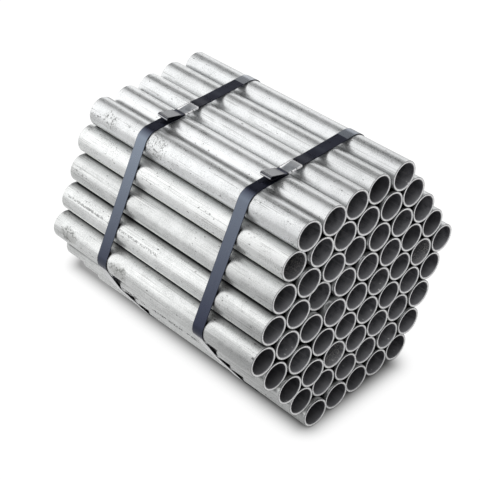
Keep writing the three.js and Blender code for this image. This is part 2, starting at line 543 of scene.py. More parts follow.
@dataclass(frozen=True)
class Coat:
    """What the zinc coat hands on to the rest of its finish.

    Attributes:
        colour: its colour.
        cloud: its cloudiness, about 0.5.
        pits: 1 in its dark pits.
        lines: 1 on the scratched lines of its patches.
        ink: 1 where it is printed.
    """

    colour: Socket
    cloud: Socket
    pits: Socket
    lines: Socket
    ink: Socket


@dataclass(frozen=True)
class Galvanised:
    """Hot-dip galvanised tube: grey-white zinc, bare sawn ends and a dull bore.

    Attributes:
        marks: the rubbed patches on the outside.
        straps: middles of the straps in Y.
        strap_half: their half width.
        strap_shade: how far out from a strap the painted shadow in the gap below it reaches.
        dimming: places in Y between which the painted shade towards the front ends fades away.
        dim_power: how soon it does.
        cloud_edges: levels of the clouds between which the zinc turns from dull to bright.
        streak_edges: levels of the drawn lines between which a dark streak sets in.
        shine_edges: the same for a polished one.
        broken_edges: levels between which a streak is whole again after a break.
        band_edges: levels between which a gritty band sets in.
        crumb_edges: the same for the crumbs in it.
        tone_share: how much a tube's own tone shifts the clouds.
        streak_share: how dark a streak is.
        fine_share: how dark the fine specks are.
        crumb_share: how dark the crumbs are.
        line_share: how dark the scratched lines of a rubbed patch are.
        pit_share: how dark the pits are.
    """

    marks: tuple[ScuffMark, ...]
    straps: tuple[float, ...]
    strap_half: float
    strap_shade: float = 1.8 * MM
    dimming: Range = (-0.215, 0.01)
    dim_power: float = 1.6
    cloud_edges: Range = (0.36, 0.6)
    streak_edges: Range = (0.56, 0.61)
    shine_edges: Range = (0.36, 0.43)
    broken_edges: Range = (0.44, 0.56)
    band_edges: Range = (0.44, 0.66)
    crumb_edges: Range = (0.6, 0.64)
    tone_share: float = 0.045
    streak_share: float = 0.7
    fine_share: float = 0.65
    crumb_share: float = 0.5
    line_share: float = 0.75
    pit_share: float = 0.9
    bright: Colour = (0.715, 0.727, 0.737)
    dull: Colour = (0.552, 0.564, 0.571)
    streak: Colour = (0.34, 0.345, 0.345)
    speck: Colour = (0.06, 0.06, 0.06)
    worn: Colour = (0.13, 0.135, 0.13)
    rubbed: Colour = (0.36, 0.365, 0.36)
    # Near white: pale polished streaks, paler flanks, and the painted highlight on undersides over
    # a lower neighbour.
    pale_and_highlight: Colour = (0.95, 0.955, 0.96)
    # Near black: print ink and grime, painted shade between the tubes, under the straps and towards
    # the front ends, and darker bores.
    grime_and_shade: Colour = (0.022, 0.022, 0.024)
    sawn: Colour = (0.93, 0.93, 0.93)
    sawn_dull: Colour = (0.72, 0.72, 0.725)
    bore_pale: Colour = (0.21, 0.21, 0.228)
    bore_dark: Colour = (0.085, 0.085, 0.095)
    # Pale dust, also painted light where light falls on the floor of a bore near its mouth.
    dust_and_light: Colour = (0.35, 0.35, 0.37)
    crust: Colour = (0.5, 0.49, 0.48)
    bead: Colour = (0.26, 0.26, 0.27)
    warm_tint: Colour = (1.012, 1.01, 0.99)
    metallic: float = 0.8
    bore_metallic: float = 0.35
    sawn_metallic: float = 0.6

    def outside(self, tree: Tree, effects: Effects) -> Coat:
        """The zinc coat: clouds, drawn streaks, specks, rubbed patches, print and painted shade
        towards the front ends.

        Args:
            tree: the material's tree.
            effects: the shared effects.

        Returns:
            Its sockets.
        """
        place = tree.painted("tube_space", "Vector")
        space = {"Vector": place}
        warm = tree.painted("warm")
        cloud = tree.effect(effects.mottle, **space, Broad=52.0, Fine=600.0, Fine_share=0.64)[0]
        streaks = tree.effect(effects.lines, **space, Across=640.0, Along=5.0)[0]
        broken = tree.effect(effects.lines, **space, Across=55.0, Along=11.0)[0]
        bands = tree.effect(effects.lines, **space, Across=70.0, Along=14.0)[0]
        patchy = tree.times(tree.painted("soil"), tree.span(bands, *self.band_edges, 0.0, 2.0))
        kept = tree.plus(tree.times(patchy, 0.32), 0.09)
        specks = tree.effect(effects.specks, **space, Scale=125.0, Size=0.2, Kept=kept)[0]
        kept = tree.plus(tree.times(patchy, 0.27), 0.03)
        fine_specks = tree.effect(effects.specks, **space, Scale=330.0, Size=0.42, Kept=kept)[0]
        crumbs = tree.span(tree.noise(place, 520.0, 2.0, 0.6), *self.crumb_edges)
        crumbs = tree.times(crumbs, patchy, self.crumb_share)
        pits = tree.most(specks, tree.times(fine_specks, self.fine_share), crumbs)
        pits = tree.math("MINIMUM", pits, 1.0)
        level = tree.plus(cloud, tree.times(tree.painted("tone"), self.tone_share))
        lined = tree.times(
            tree.span(streaks, *self.streak_edges),
            tree.span(broken, *self.broken_edges),
            self.streak_share,
        )
        polished = tree.times(tree.span(streaks, *self.shine_edges, 0.35, 0.0), warm)
        # Dark streaks and pale polished streaks, then paler flanks and the painted highlight on
        # undersides.
        colour = tree.coats(
            tree.blend(tree.span(level, *self.cloud_edges), self.dull, self.bright),
            (lined, self.streak),
            (polished, self.pale_and_highlight),
            (tree.painted("pale_and_highlight"), self.pale_and_highlight),
        )
        lines: object = 0.0
        for mark in self.marks:
            size = {"Radius": mark.radius, "Stretch": mark.stretch, "Waves": mark.waves}
            patch = tree.effect(effects.scuff, Vector=tree.own(), Centre=mark.centre, **size)
            lines = tree.most(lines, patch["Lines"])
            colour = tree.blend(tree.times(patch["Disc"], mark.grey), colour, self.rubbed)
        colour = tree.blend(tree.times(lines, self.line_share), colour, self.worn)
        band = tree.painted("print_band", "Vector")
        ink = tree.times(tree.effect(effects.dashes, **space, Band=band)[0], tree.painted("ink"))
        # Painted shade: the zinc darkens towards the front ends by the painted front_dim share.
        forward = tree.span(tree.axis(1), *self.dimming, 1.0, 0.0)
        forward = tree.math("POWER", forward, self.dim_power)
        colour = tree.coats(
            colour,
            (warm, tree.vector("MULTIPLY", colour, self.warm_tint)),
            (tree.times(forward, tree.painted("front_dim")), self.grime_and_shade),
            (tree.times(pits, self.pit_share), self.speck),
            (ink, self.grime_and_shade),
        )
        return Coat(colour, cloud, pits, lines, ink)

    def under_straps(self, tree: Tree) -> Socket:
        """How dark the painted shadow in the gap below a strap is: painted gap times nearness in Y.

        Args:
            tree: the material's tree.

        Returns:
            A value, 1 where darkest.
        """
        along = tree.axis(1)
        edges = (self.strap_half, self.strap_half + self.strap_shade, 1.0, 0.0)
        near = (tree.span(tree.distance(along, middle), *edges) for middle in self.straps)
        return tree.times(tree.most(*near), tree.painted("gap"))

    def inside(self, tree: Tree, effects: Effects, rust: Socket) -> Socket:
        """The bore's colour: rusty clouds, drawn lines, pale dust with painted light near the
        mouth, bright ticks, crust and bead.

        Args:
            tree: the material's tree.
            effects: the shared effects.
            rust: the rusty clouds.

        Returns:
            The colour.
        """
        place = tree.painted("tube_space", "Vector")
        dust_and_light = tree.painted("dust_and_light")
        drawn = tree.effect(effects.lines, Vector=place, Across=260.0, Along=14.0)[0]
        ticks = tree.effect(effects.specks, Vector=place, Scale=260.0, Size=0.4, Kept=0.05)[0]
        spots = tree.span(tree.noise(place, 420.0, 4.0, 0.7), 0.5, 0.6)
        return tree.coats(
            tree.blend(tree.span(rust, 0.35, 0.65), self.bore_dark, self.bore_pale),
            (tree.span(drawn, 0.54, 0.68, 0.0, 0.5), self.dust_and_light),
            (tree.span(tree.painted("tone"), -1.0, 0.6, 0.55, 0.0), self.bore_dark),
            (dust_and_light, self.dust_and_light),
            (tree.times(ticks, dust_and_light, 0.8), self.sawn),
            (tree.times(tree.painted("crust"), spots), self.crust),
            (tree.painted("bead"), self.bead),
            (tree.painted("deep"), self.grime_and_shade),
        )

    def material(self, effects: Effects) -> Material:
        """Builds the finish, which reads the tubes' point attributes.

        Args:
            effects: the shared effects.

        Returns:
            The material.
        """
        material, tree, shader = new_material("galvanised_tube")
        place = tree.painted("tube_space", "Vector")
        rim, bore = tree.painted("rim"), tree.painted("bore")
        coat = self.outside(tree, effects)
        # Painted shade between the tubes and in the gap below each strap, with the ends' burr
        # grime, darkens the zinc.
        outside = tree.coats(
            coat.colour,
            (tree.painted("nested_shade_and_grime"), self.grime_and_shade),
            (self.under_straps(tree), self.grime_and_shade),
        )
        sawn_tone = tree.span(tree.noise(place, 420.0, 3.0, 0.6), 0.4, 0.6)
        clouds = {"Broad": 120.0, "Fine": 700.0, "Fine_share": 0.35}
        rust = tree.effect(effects.mottle, Vector=place, **clouds)[0]
        walls = tree.blend(bore, outside, self.inside(tree, effects, rust))
        dirt = tree.most(tree.times(tree.most(coat.pits, coat.lines), 0.85), coat.ink)
        outer_dirt = tree.times(dirt, tree.span(bore, 0.0, 0.1, 1.0, 0.0))
        metal = tree.plus(
            tree.span(bore, 0.0, 1.0, self.metallic, self.bore_metallic),
            tree.times(rim, self.sawn_metallic - self.metallic),
        )
        cloud_rough = tree.span(coat.cloud, 0.35, 0.65, 0.27, 0.37)
        rough = tree.plus(cloud_rough, tree.times(bore, 0.1), tree.times(coat.lines, 0.12))
        pitted = tree.minus(coat.cloud, tree.times(coat.pits, 0.6), tree.times(coat.lines, 1.2))
        height = tree.plus(pitted, tree.times(bore, rust, 0.8))
        raised = tree.add("CombineXYZ", None, X=0.0, Y=0.0, Z=tree.painted("lift")).outputs[0]
        normal = tree.vector("ADD", tree.add("NewGeometry").outputs["Normal"], raised)
        normal = tree.vector("NORMALIZE", normal)
        ends = tree.blend(sawn_tone, self.sawn_dull, self.sawn)
        tree.fill(
            shader,
            {
                "Base Color": tree.blend(rim, walls, ends),
                "Metallic": tree.times(metal, tree.minus(1.0, outer_dirt)),
                "Specular IOR Level": tree.minus(0.5, tree.times(coat.ink, 0.45)),
                "Roughness": rough,
                "Normal": tree.bump(0.5, 0.2 * MM, height, Normal=normal),
            },
        )
        return material


@dataclass(frozen=True)
class BluedStrap:
    """Blued and waxed strapping steel: blue-black and satin, with painted shade on its edges and
    folds.
    """

    deep: Colour = (0.025, 0.028, 0.05)
    # Pale blue-grey: high up the sides, and for the painted glint and the painted highlight past
    # the crease.
    pale: Colour = (0.176, 0.205, 0.25)
    bare: Colour = (0.27, 0.275, 0.285)
    glare: Colour = (0.93, 0.935, 0.94)
    # Near black for painted shade on the strip's edges, beside the seal and in the folds of its
    # free end.
    edge: Colour = (0.012, 0.013, 0.018)
    metallic: float = 0.9

    def material(self, effects: Effects) -> Material:
        """Builds the finish, which reads the straps' point attributes.

        Args:
            effects: the shared effects.

        Returns:
            The material.
        """
        material, tree, shader = new_material("blued_strap")
        space = {"Vector": tree.painted("strip_space", "Vector")}
        lines = tree.effect(effects.lines, **space, Across=900.0, Along=14.0)[0]
        mottle = tree.effect(effects.mottle, **space, Broad=60.0, Fine=500.0, Fine_share=0.35)[0]
        specks = tree.effect(effects.specks, **space, Scale=220.0, Size=0.12, Kept=0.05)[0]
        tone = tree.plus(tree.times(lines, 0.5), tree.times(mottle, 0.5))
        tone_and_highlight = tree.plus(tree.painted("tone_and_highlight"), tree.span(tone, 0.38, 0.62, -0.025, 0.025))
        bare = tree.times(tree.painted("bare"), tree.span(tone, 0.35, 0.6, 0.85, 1.0))
        colour = tree.coats(
            tree.blend(tone_and_highlight, self.deep, self.pale),
            (bare, self.bare),
            # Painted shade on the edges, beside the seal and in the folds.
            (tree.times(tree.painted("edge"), 0.8), self.edge),
            (tree.times(specks, 0.5), self.bare),
            (tree.painted("glare"), self.glare),
        )
        tree.fill(
            shader,
            {
                "Base Color": colour,
                "Metallic": self.metallic,
                "Roughness": tree.span(mottle, 0.35, 0.65, 0.26, 0.34),
                "Normal": tree.bump(0.3, 0.03 * MM, tone),
            },
        )
        return material


@dataclass(frozen=True)
class ZincSeal:
    """Zinc-plated folded sheet: dull silver, with painted highlights on its edges and painted shade
    in its notches.
    """

    dull: Colour = (0.35, 0.365, 0.39)
    clean: Colour = (0.46, 0.48, 0.51)
    bright: Colour = (0.72, 0.73, 0.745)
    speck: Colour = (0.2, 0.2, 0.2)
    # White for painted highlights on the rolled edges, the back edge and the ends' rims.
    edge: Colour = (0.97, 0.97, 0.97)
    # Near black for painted shade in the crimp's notches, along the top's outline and in the gap at
    # the mouth.
    notch_shade: Colour = (0.05, 0.05, 0.055)
    metallic: float = 0.9
    edge_metallic: float = 0.1

    def material(self, effects: Effects) -> Material:
        """Builds the finish, which reads the seals' coordinates and point attributes.

        Args:
            effects: the shared effects.

        Returns:
            The material.
        """
        material, tree, shader = new_material("zinc_seal")
        place = tree.own()
        sheen, back_highlight = tree.painted("sheen"), tree.painted("back_highlight")
        clouds = {"Broad": 150.0, "Fine": 900.0, "Fine_share": 0.5}
        mottle = tree.effect(effects.mottle, Vector=place, **clouds)[0]
        specks = tree.effect(effects.specks, Vector=place, Scale=420.0, Size=0.2, Kept=0.12)[0]
        broken = tree.span(tree.noise(place, 330.0), 0.4, 0.54, 0.35, 1.0)
        edge = tree.times(tree.painted("edge"), broken)
        colour = tree.coats(
            tree.blend(tree.span(mottle, 0.38, 0.6), self.dull, self.clean),
            # Painted highlight that brightens the top towards the right end.
            (sheen, self.bright),
            (tree.times(specks, 0.5), self.speck),
            (edge, self.edge),
            (back_highlight, self.edge),
            (tree.painted("notch_shade"), self.notch_shade),
        )
        # Less metallic where a highlight is painted, so that it shows white.
        scattered = tree.most(back_highlight, tree.times(sheen, 0.2), edge)
        tree.fill(
            shader,
            {
                "Base Color": colour,
                "Metallic": tree.span(scattered, 0.0, 1.0, self.metallic, self.edge_metallic),
                "Roughness": tree.span(mottle, 0.35, 0.65, 0.28, 0.4),
                "Normal": tree.bump(0.4, 0.06 * MM, mottle),
            },
        )
        return material


# ------------------------------------------------------------------ tubes


@dataclass(frozen=True)
class Slip:
    """How far a block of tubes has slid out of the stack, in X and Z.

    Attributes:
        tubes: layer and index of each tube of the block.
        front: the shift at its front ends, in metres.
        back: the shift at its back ends.
    """

    tubes: tuple[TubeKey, ...] = ((5, 0), (5, 1), (6, 0), (6, 1), (7, 0))
    front: Range = (-1.9 * MM, -1.2 * MM)
    back: Range = (-6.0 * MM, -4.0 * MM)


@dataclass(frozen=True)
class TubeEnds:
    """Where one tube lies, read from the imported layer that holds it.

    Attributes:
        layer: its layer, 0 on top.
        index: its number in the layer, 0 at the left.
        x: X of its axis, in metres.
        z: Z of its axis.
        front: Y of its front end.
        back: Y of its back end.
        last: the highest index in its layer.
        slip: how it has slid out, if it has.
    """

    layer: int
    index: int
    x: float
    z: float
    front: float
    back: float
    last: int
    slip: Slip | None = None

    @property
    def key(self) -> TubeKey:
        """Its layer and index."""
        return self.layer, self.index

    def shift(self, y: Array) -> Array:
        """The sideways shift in X and Z at places y along the tube, from its slip.

        Args:
            y: places along the tube, in metres.

        Returns:
            X and Z for each place, along a last axis.
        """
        if self.slip is None:
            return np.zeros((*np.shape(y), 2))
        share = (np.asarray(y)[..., None] - self.front) / (self.back - self.front)
        return np.array(self.slip.front) * (1 - share) + np.array(self.slip.back) * share


@dataclass(frozen=True)
class PrintLine:
    """A worn line of unreadable dashes along one tube.

    Attributes:
        angle: where round the tube it runs, in degrees from +X towards +Z.
        half_height: in metres.
        span: where it starts and ends in Y, in metres.
        ink: how dark it is, from 0 to 1.
    """

    angle: float
    half_height: float
    span: Range
    ink: float


@dataclass(frozen=True)
class Flank:
    """A paler or darker side of one tube.

    Attributes:
        tube: its layer and index.
        angle: the side's middle, in degrees from +X towards +Z.
        share: how pale it is, or below 0 how dark.
    """

    tube: TubeKey
    angle: float
    share: float


@dataclass(frozen=True)
class TubeMarks:
    """What tells one tube from another, and the outer side of the stack from the inside.

    Attributes:
        flanks: the sides that are paler or darker.
        flank_half: half width of such a side, in degrees.
        crusted: tubes with pale crust in the bore.
        prints: the worn lines of print, by tube.
        dims: how much darker some tubes are all over.
        deeps: how dark some bores are.
        front_dims: how strong the painted shade is with which the left tubes darken towards
        their front ends, layer by layer from the top: on their upper left, and on their lower left.
        front_dim_top: the same on the top of every tube.
        front_dim_turn: angles round a left tube between which that changes, in degrees.
        soil: how gritty the zinc is: on top, on the outer tubes, on their undersides.
        soil_back: places in Y between which it gets grittier towards the back ends.
    """

    flanks: tuple[Flank, ...] = (
        Flank((0, 0), 42, -0.9), Flank((0, 1), 42, 0.6),
        Flank((0, 2), 42, 1.0), Flank((0, 1), 150, 0.22),
    )
    flank_half: float = 22.0
    crusted: tuple[TubeKey, ...] = ((1, 0), (4, 7), (6, 2))
    prints: tuple[tuple[TubeKey, PrintLine], ...] = (
        ((3, 0), PrintLine(140.0, 2.2 * MM, (0.0, 0.222), 0.42)),
        ((5, 0), PrintLine(199.0, 3.6 * MM, (-0.09, 0.1), 1.0)),
    )
    dims: tuple[tuple[TubeKey, float], ...] = (((2, 0), 0.12), ((0, 4), 0.05), ((4, 0), 0.03))
    deeps: tuple[tuple[TubeKey, float], ...] = (
        ((0, 3), 0.3), ((1, 0), 0.4), ((3, 6), 0.25), ((3, 7), 0.3), ((4, 0), 0.4),
        ((5, 0), 0.5), ((6, 0), 0.6), ((6, 1), 0.3), ((7, 0), 0.55), ((8, 0), 0.5),
        ((8, 1), 0.4), ((8, 2), 0.5), ((8, 3), 0.35), ((8, 4), 0.5),
    )
    front_dims: tuple[Range, ...] = (
        (0.26, 0.1), (0.3, 0.08), (0.3, 0.2), (0.42, 0.36), (0.55, 0.4),
    )
    front_dim_top: float = 0.14
    front_dim_turn: tuple[float, ...] = (60, 117, 145, 158, 176, 215, 230)
    soil: Colour = (0.06, 0.36, 0.68)
    soil_back: Range = (0.12, 0.21)

    def flank(self, place: TubeEnds, degrees: Array) -> Array:
        """How pale, or below 0 how dark, the zinc is at angles round a tube.

        Args:
            place: the tube.
            degrees: (n, 1) angles round it.

        Returns:
            -1 to 1 at each angle.
        """
        total = np.zeros_like(degrees)
        for side in self.flanks:
            if side.tube == place.key:
                off = np.abs(degrees - side.angle) / self.flank_half
                total += side.share * np.clip(1.3 - off, 0, 1)
        return total

    def printed(self, place: TubeEnds, angle: Array, radius: float) -> tuple[Array, float]:
        """Where a tube's line of print is.

        Args:
            place: the tube.
            angle: (n, 1) angles round it.
            radius: its outside radius.

        Returns:
            For each angle how many half heights it is off the line, and the line's ends;
            and how dark its ink is.
        """
        band = np.tile([FAR, 0.0, 0.0], (len(angle), 1))
        line = dict(self.prints).get(place.key)
        if line is None:
            return band, 0.0
        band[:, 0] = radius * (angle[:, 0] - math.radians(line.angle)) / line.half_height
        band[:, 1:] = line.span
        return band, line.ink

    def soiled(self, place: TubeEnds, angle: Array, y: Array) -> Array:
        """How gritty the zinc is at angles round a tube and places along it.

        Args:
            place: the tube.
            angle: (n, 1) angles round it.
            y: places along it.

        Returns:
            The share of grit for each angle and place.
        """
        inner, outer, under = self.soil
        below = np.clip(0.5 - np.sin(angle), 0, 1)
        is_outer = place.index in (0, place.last)
        level = inner + is_outer * ((outer - inner) + (under - outer) * below)
        if place.key == (0, 0):
            level = under + 0.2
        start, full = self.soil_back
        return level + 0.4 * ramp(y, start, full - start)

    def dimmed(self, place: TubeEnds, angle: Array) -> Array:
        """How much painted shade darkens the zinc towards the front end, at angles round a tube.

        Args:
            place: the tube.
            angle: (n, 1) angles round it.

        Returns:
            0 to 1 at each angle.
        """
        if place.index > 0 or place.layer >= len(self.front_dims):
            return np.full_like(angle, self.front_dim_top)
        upper, lower = self.front_dims[place.layer]
        levels = (self.front_dim_top, 0.04, upper, upper, lower, lower, 0)
        return np.interp(np.degrees(angle), self.front_dim_turn, levels)


@dataclass
class TubeStack:
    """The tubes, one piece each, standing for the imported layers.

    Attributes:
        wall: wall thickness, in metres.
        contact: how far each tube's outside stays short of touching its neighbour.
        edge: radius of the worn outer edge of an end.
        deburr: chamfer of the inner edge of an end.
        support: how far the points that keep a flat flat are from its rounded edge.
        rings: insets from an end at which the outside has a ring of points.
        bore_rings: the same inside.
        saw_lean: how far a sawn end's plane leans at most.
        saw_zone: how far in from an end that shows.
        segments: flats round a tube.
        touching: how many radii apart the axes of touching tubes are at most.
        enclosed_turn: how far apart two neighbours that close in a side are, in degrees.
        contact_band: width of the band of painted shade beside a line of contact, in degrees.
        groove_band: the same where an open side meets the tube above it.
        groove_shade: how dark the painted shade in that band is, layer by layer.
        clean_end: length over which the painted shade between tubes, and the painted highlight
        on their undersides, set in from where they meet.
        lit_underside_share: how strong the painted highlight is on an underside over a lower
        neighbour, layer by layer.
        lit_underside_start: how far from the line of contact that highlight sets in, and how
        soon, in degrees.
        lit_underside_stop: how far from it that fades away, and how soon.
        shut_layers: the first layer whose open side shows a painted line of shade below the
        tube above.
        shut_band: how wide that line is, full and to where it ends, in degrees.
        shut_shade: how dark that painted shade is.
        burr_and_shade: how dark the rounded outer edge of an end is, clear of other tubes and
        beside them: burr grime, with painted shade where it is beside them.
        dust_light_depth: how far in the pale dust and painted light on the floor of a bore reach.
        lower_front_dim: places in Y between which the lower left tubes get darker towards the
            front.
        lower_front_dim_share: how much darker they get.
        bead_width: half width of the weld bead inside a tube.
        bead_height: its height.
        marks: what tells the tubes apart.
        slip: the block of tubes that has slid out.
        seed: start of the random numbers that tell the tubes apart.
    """

    wall: float = 4.0 * MM
    contact: float = 0.02 * MM
    edge: float = 0.7 * MM
    deburr: float = 1.05 * MM
    support: float = 0.12 * MM
    rings: tuple[float, ...] = (190, 130, 80, 40, 22, 14, 9, 6, 3.5, 2)
    bore_rings: tuple[float, ...] = (4, 9, 14, 20, 28, 40)
    saw_lean: float = 0.25 * MM
    saw_zone: float = 10 * MM
    segments: int = 96
    touching: float = 2.2
    enclosed_turn: float = 70.0
    contact_band: float = 14.0
    groove_band: float = 45.0
    groove_shade: tuple[float, ...] = (0.0, 0.4, 1.1, 1.7, 1.35, 0.6, 0.6, 0.6, 0.6)
    clean_end: float = 3.5 * MM
    lit_underside_share: tuple[float, ...] = (0.0, 0.8, 1.2, 1.3, 1.0, 1.0, 1.0, 1.0, 1.0)
    lit_underside_start: Range = (8.0, 12.0)
    lit_underside_stop: Range = (52.0, -20.0)
    shut_layers: int = 5
    shut_band: Range = (38.0, 48.0)
    shut_shade: float = 0.75
    burr_and_shade: Range = (0.55, 0.95)
    dust_light_depth: float = 12 * MM
    lower_front_dim: Range = (-0.19, -0.13)
    lower_front_dim_share: float = 0.22
    bead_width: float = 0.7 * MM
    bead_height: float = 0.12 * MM
    marks: TubeMarks = TubeMarks()
    slip: Slip = Slip()
    seed: int = 7

    def layout(self) -> list[TubeEnds]:
        """Reads the tubes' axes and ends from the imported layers.

        A layer's box is one diameter high, so its width less a diameter holds one pitch
        fewer than it has tubes. A tube's own points are those nearer to its axis than its
        outside, which leaves the points of its bore.

        Returns:
            One entry for each tube, top layer first.
        """
        tubes = []
        for layer in range(LAYERS):
            name = f"tube_row_{layer + 1}"
            low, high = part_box(name)
            diameter = high[2] - low[2]
            count = LAYERS // 2 + 1 + min(layer, LAYERS - 1 - layer)
            pitch = (high[0] - low[0] - diameter) / (count - 1)
            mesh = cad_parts[name].data
            spots = np.empty(len(mesh.vertices) * 3, np.float32)
            mesh.vertices.foreach_get("co", spots)
            spots = spots.reshape(-1, 3)
            z = centre(low[2], high[2])
            for index in range(count):
                x = low[0] + diameter / 2 + index * pitch
                reach = np.hypot(spots[:, 0] - x, spots[:, 2] - z)
                along = spots[reach < diameter / 2 - self.wall * 0.8, 1]
                ends = float(along.min()), float(along.max())
                slip = self.slip if (layer, index) in self.slip.tubes else None
                tubes.append(TubeEnds(layer, index, x, z, *ends, count - 1, slip))
        self.radius = pitch / 2 - self.contact
        return tubes

    def profile(self) -> tuple[Array, Array, Array, Array]:
        """The wall's section as a closed loop, from the outside's front round to the bore.

        Returns:
            For each point: radius, inset from its end (positive inwards), which end it
            belongs to (-1 front, 1 back), and zone (0 outside, 1 end, 2 bore).
        """
        outer, inner = self.radius, self.radius - self.wall
        turn = arc_angles(0, 90, 4)
        rings = np.array(self.rings) * MM
        deep = [self.deburr + self.support, *(np.array(self.bore_rings) * MM)]
        flat = outer - self.edge - self.support
        lip = [inner + self.deburr + self.support, inner + self.deburr, inner + self.deburr / 2]
        radii = [np.full(len(rings) + 1, outer), outer - self.edge + self.edge * np.cos(turn)]
        radii += [[flat, *lip], np.full(len(deep) + 1, inner)]
        inset = [rings, [self.edge + self.support], self.edge - self.edge * np.sin(turn)]
        inset += [[0.0, 0.0, 0.0, self.deburr * 0.45, self.deburr], deep]
        zone = [np.zeros(len(rings) + 1), np.linspace(0.0, 0.7, len(turn))]
        zone += [[1.0, 1.0, 1.0, 1.15, 1.6], np.full(len(deep), 2.0)]
        radii, inset, zone = (np.concatenate(run) for run in (radii, inset, zone))
        side = np.repeat([-1.0, 1.0], len(inset))
        radii, inset, zone = (np.concatenate([run, run[::-1]]) for run in (radii, inset, zone))
        return radii, inset, side, zone

    def nested_shade_and_grime(
        self, place: TubeEnds, tubes: list[TubeEnds], angle: Array, along: Array
    ) -> tuple[Array, Array]:
        """How far each side of a tube is closed in by the tubes round it.

        A side between two touching neighbours a sixth of a turn apart is closed in. An
        open side is clear, but for a narrow band next to the line of contact. Where the
        tube stands out beyond its neighbours it is clear all round. What is closed in
        gets painted shade, and an underside over a lower neighbour a painted highlight.

        Args:
            place: the tube.
            tubes: all tubes.
            angle: angles round the tube, from +X towards +Z.
            along: places along it, one for each ring of points.

        Returns:
            For each angle and place: 1 where closed in, 0 where clear, for painted shade;
            and how much a side that overhangs a lower neighbour is lightened, for a painted
            highlight.
        """
        reach = self.touching * self.radius
        near = [t for t in tubes if 0 < math.hypot(t.x - place.x, t.z - place.z) < reach]
        bearings = np.array([math.atan2(t.z - place.z, t.x - place.x) for t in near])
        fronts = np.array([t.front for t in near])
        backs = np.array([t.back for t in near])
        turn = np.angle(np.exp(1j * (bearings[None, :] - angle[:, None])))
        ahead = np.where(turn >= 0, turn, FAR)
        behind = np.where(turn < 0, -turn, FAR)
        sides = np.stack([ahead.argmin(1), behind.argmin(1)])
        start = np.maximum(place.front, fronts[sides].max(0))[:, None]
        stop = np.minimum(place.back, backs[sides].min(0))[:, None]
        covered = np.clip((along[None, :] - start) / self.clean_end + 0.3, 0, 1)
        covered *= np.clip((stop - along[None, :]) / self.clean_end + 0.3, 0, 1)
        ahead, behind = ahead.min(1), behind.min(1)
        enclosed = (ahead + behind) < math.radians(self.enclosed_turn)
        nearest = np.degrees(np.minimum(ahead, behind))
        below = np.sin(bearings[np.abs(turn).argmin(1)]) < -0.1
        band = np.clip(1 - nearest / self.contact_band, 0, 1)
        groove = np.clip(1 - nearest / self.groove_band, 0, 1) * self.groove_shade[place.layer]
        if place.layer >= self.shut_layers:
            full, end = self.shut_band
            groove = np.maximum(groove, self.shut_shade * ramp(nearest, end, full - end))
        band = np.where(below, band, np.clip(np.maximum(band, groove), 0, 1))
        # clean: painted highlight on an underside that overhangs a lower neighbour, clear of the
        # line of contact.
        clean = ramp(nearest, *self.lit_underside_start) * ramp(nearest, *self.lit_underside_stop)
        clean = np.where(below & ~enclosed, clean * self.lit_underside_share[place.layer], 0.0)
        return np.where(enclosed, 1.0, band)[:, None] * covered, clean[:, None] * covered

    def gap(self, place: TubeEnds, angle: Array) -> Array:
        """Where the wedge between a strap and the outer side of a tube is narrow and painted dark
        as shade.

        The strap runs straight from tube to tube down each side, 60 degrees off the
        vertical; it touches each tube there and stands off it further round.

        Args:
            place: the tube.
            angle: (n, 1) angles round it.

        Returns:
            0 to 1 at each angle.
        """
        if place.index not in (0, place.last):
            return np.zeros_like(angle)
        upper = place.layer <= LAYERS // 2
        left, right = (150, 30) if upper else (210, -30)
        across = math.radians(left if place.index == 0 else right)
        stands_off = self.radius * (1 - np.cos(angle - across)) / MM
        wedge = ramp(stands_off, 0.3, 0.5) * ramp(stands_off, 4.5, -2)
        return 0.95 * wedge * (np.cos(angle) * math.cos(across) > 0.17)

    def tube(self, place: TubeEnds, tubes: list[TubeEnds], rng: np.random.Generator) -> Sheet:
        """One tube: its closed section turned round its axis.

        A point at angle a and section radius r is (x + r cos a, y, z + r sin a). The end's
        plane is tilted by a fraction of a millimetre, as a saw leaves it.

        Args:
            place: where the tube lies.
            tubes: all tubes.
            rng: random numbers for its roll and its saw cuts.

        Returns:
            The tube's surface with its own coordinates and masks painted on it.
        """
        radii, inset, side, zone = self.profile()
        angle = np.linspace(0, 2 * math.pi, self.segments, endpoint=False)[:, None]
        front_cos, front_sin, back_cos, back_sin = rng.uniform(-1, 1, 4) * self.saw_lean
        ends = np.where(side < 0, place.front + inset, place.back - inset)
        lean = np.where(side < 0, front_cos, back_cos) * np.cos(angle)
        lean = lean + np.where(side < 0, front_sin, back_sin) * np.sin(angle)
        lean = lean * (inset < self.saw_zone) * radii / self.radius
        roll = rng.uniform(0, 2 * math.pi)
        from_seam = np.angle(np.exp(1j * (angle - roll))) * self.radius
        bead = bell(from_seam, 0.0, self.bead_width) * (zone == 2.0)
        reach = radii - bead * self.bead_height
        x, z = reach * np.cos(angle), reach * np.sin(angle)
        y = np.clip(ends[None, :] + lean, place.front, place.back)
        aside = place.shift(y)
        points = np.stack([place.x + x + aside[..., 0], y, place.z + z + aside[..., 1]], axis=-1)
        turned_x = x * math.cos(roll) - z * math.sin(roll)
        turned_z = x * math.sin(roll) + z * math.cos(roll)
        own = np.stack([turned_x, y, turned_z], axis=-1).reshape(-1, 3) + rng.uniform(1, 9, 3)
        lit = place.index == 0 and place.layer > 0
        band, ink = self.marks.printed(place, angle, self.radius)
        paint = self.dirt(place, tubes, angle, y, (ends, inset, zone))
        paint["rim"] = ramp(zone, 0.75, 0.2) * ramp(zone, 1.12, -0.1)
        paint["bore"] = ramp(zone, 1.05, 0.1)
        paint["bead"] = bead
        paint["ink"] = ink
        paint["warm"] = 1.0 if lit else rng.uniform(0.0, 0.5)
        paint["tone"] = rng.uniform(-1.0, 1.0)
        paint = {key: np.broadcast_to(mask, x.shape).ravel() for key, mask in paint.items()}
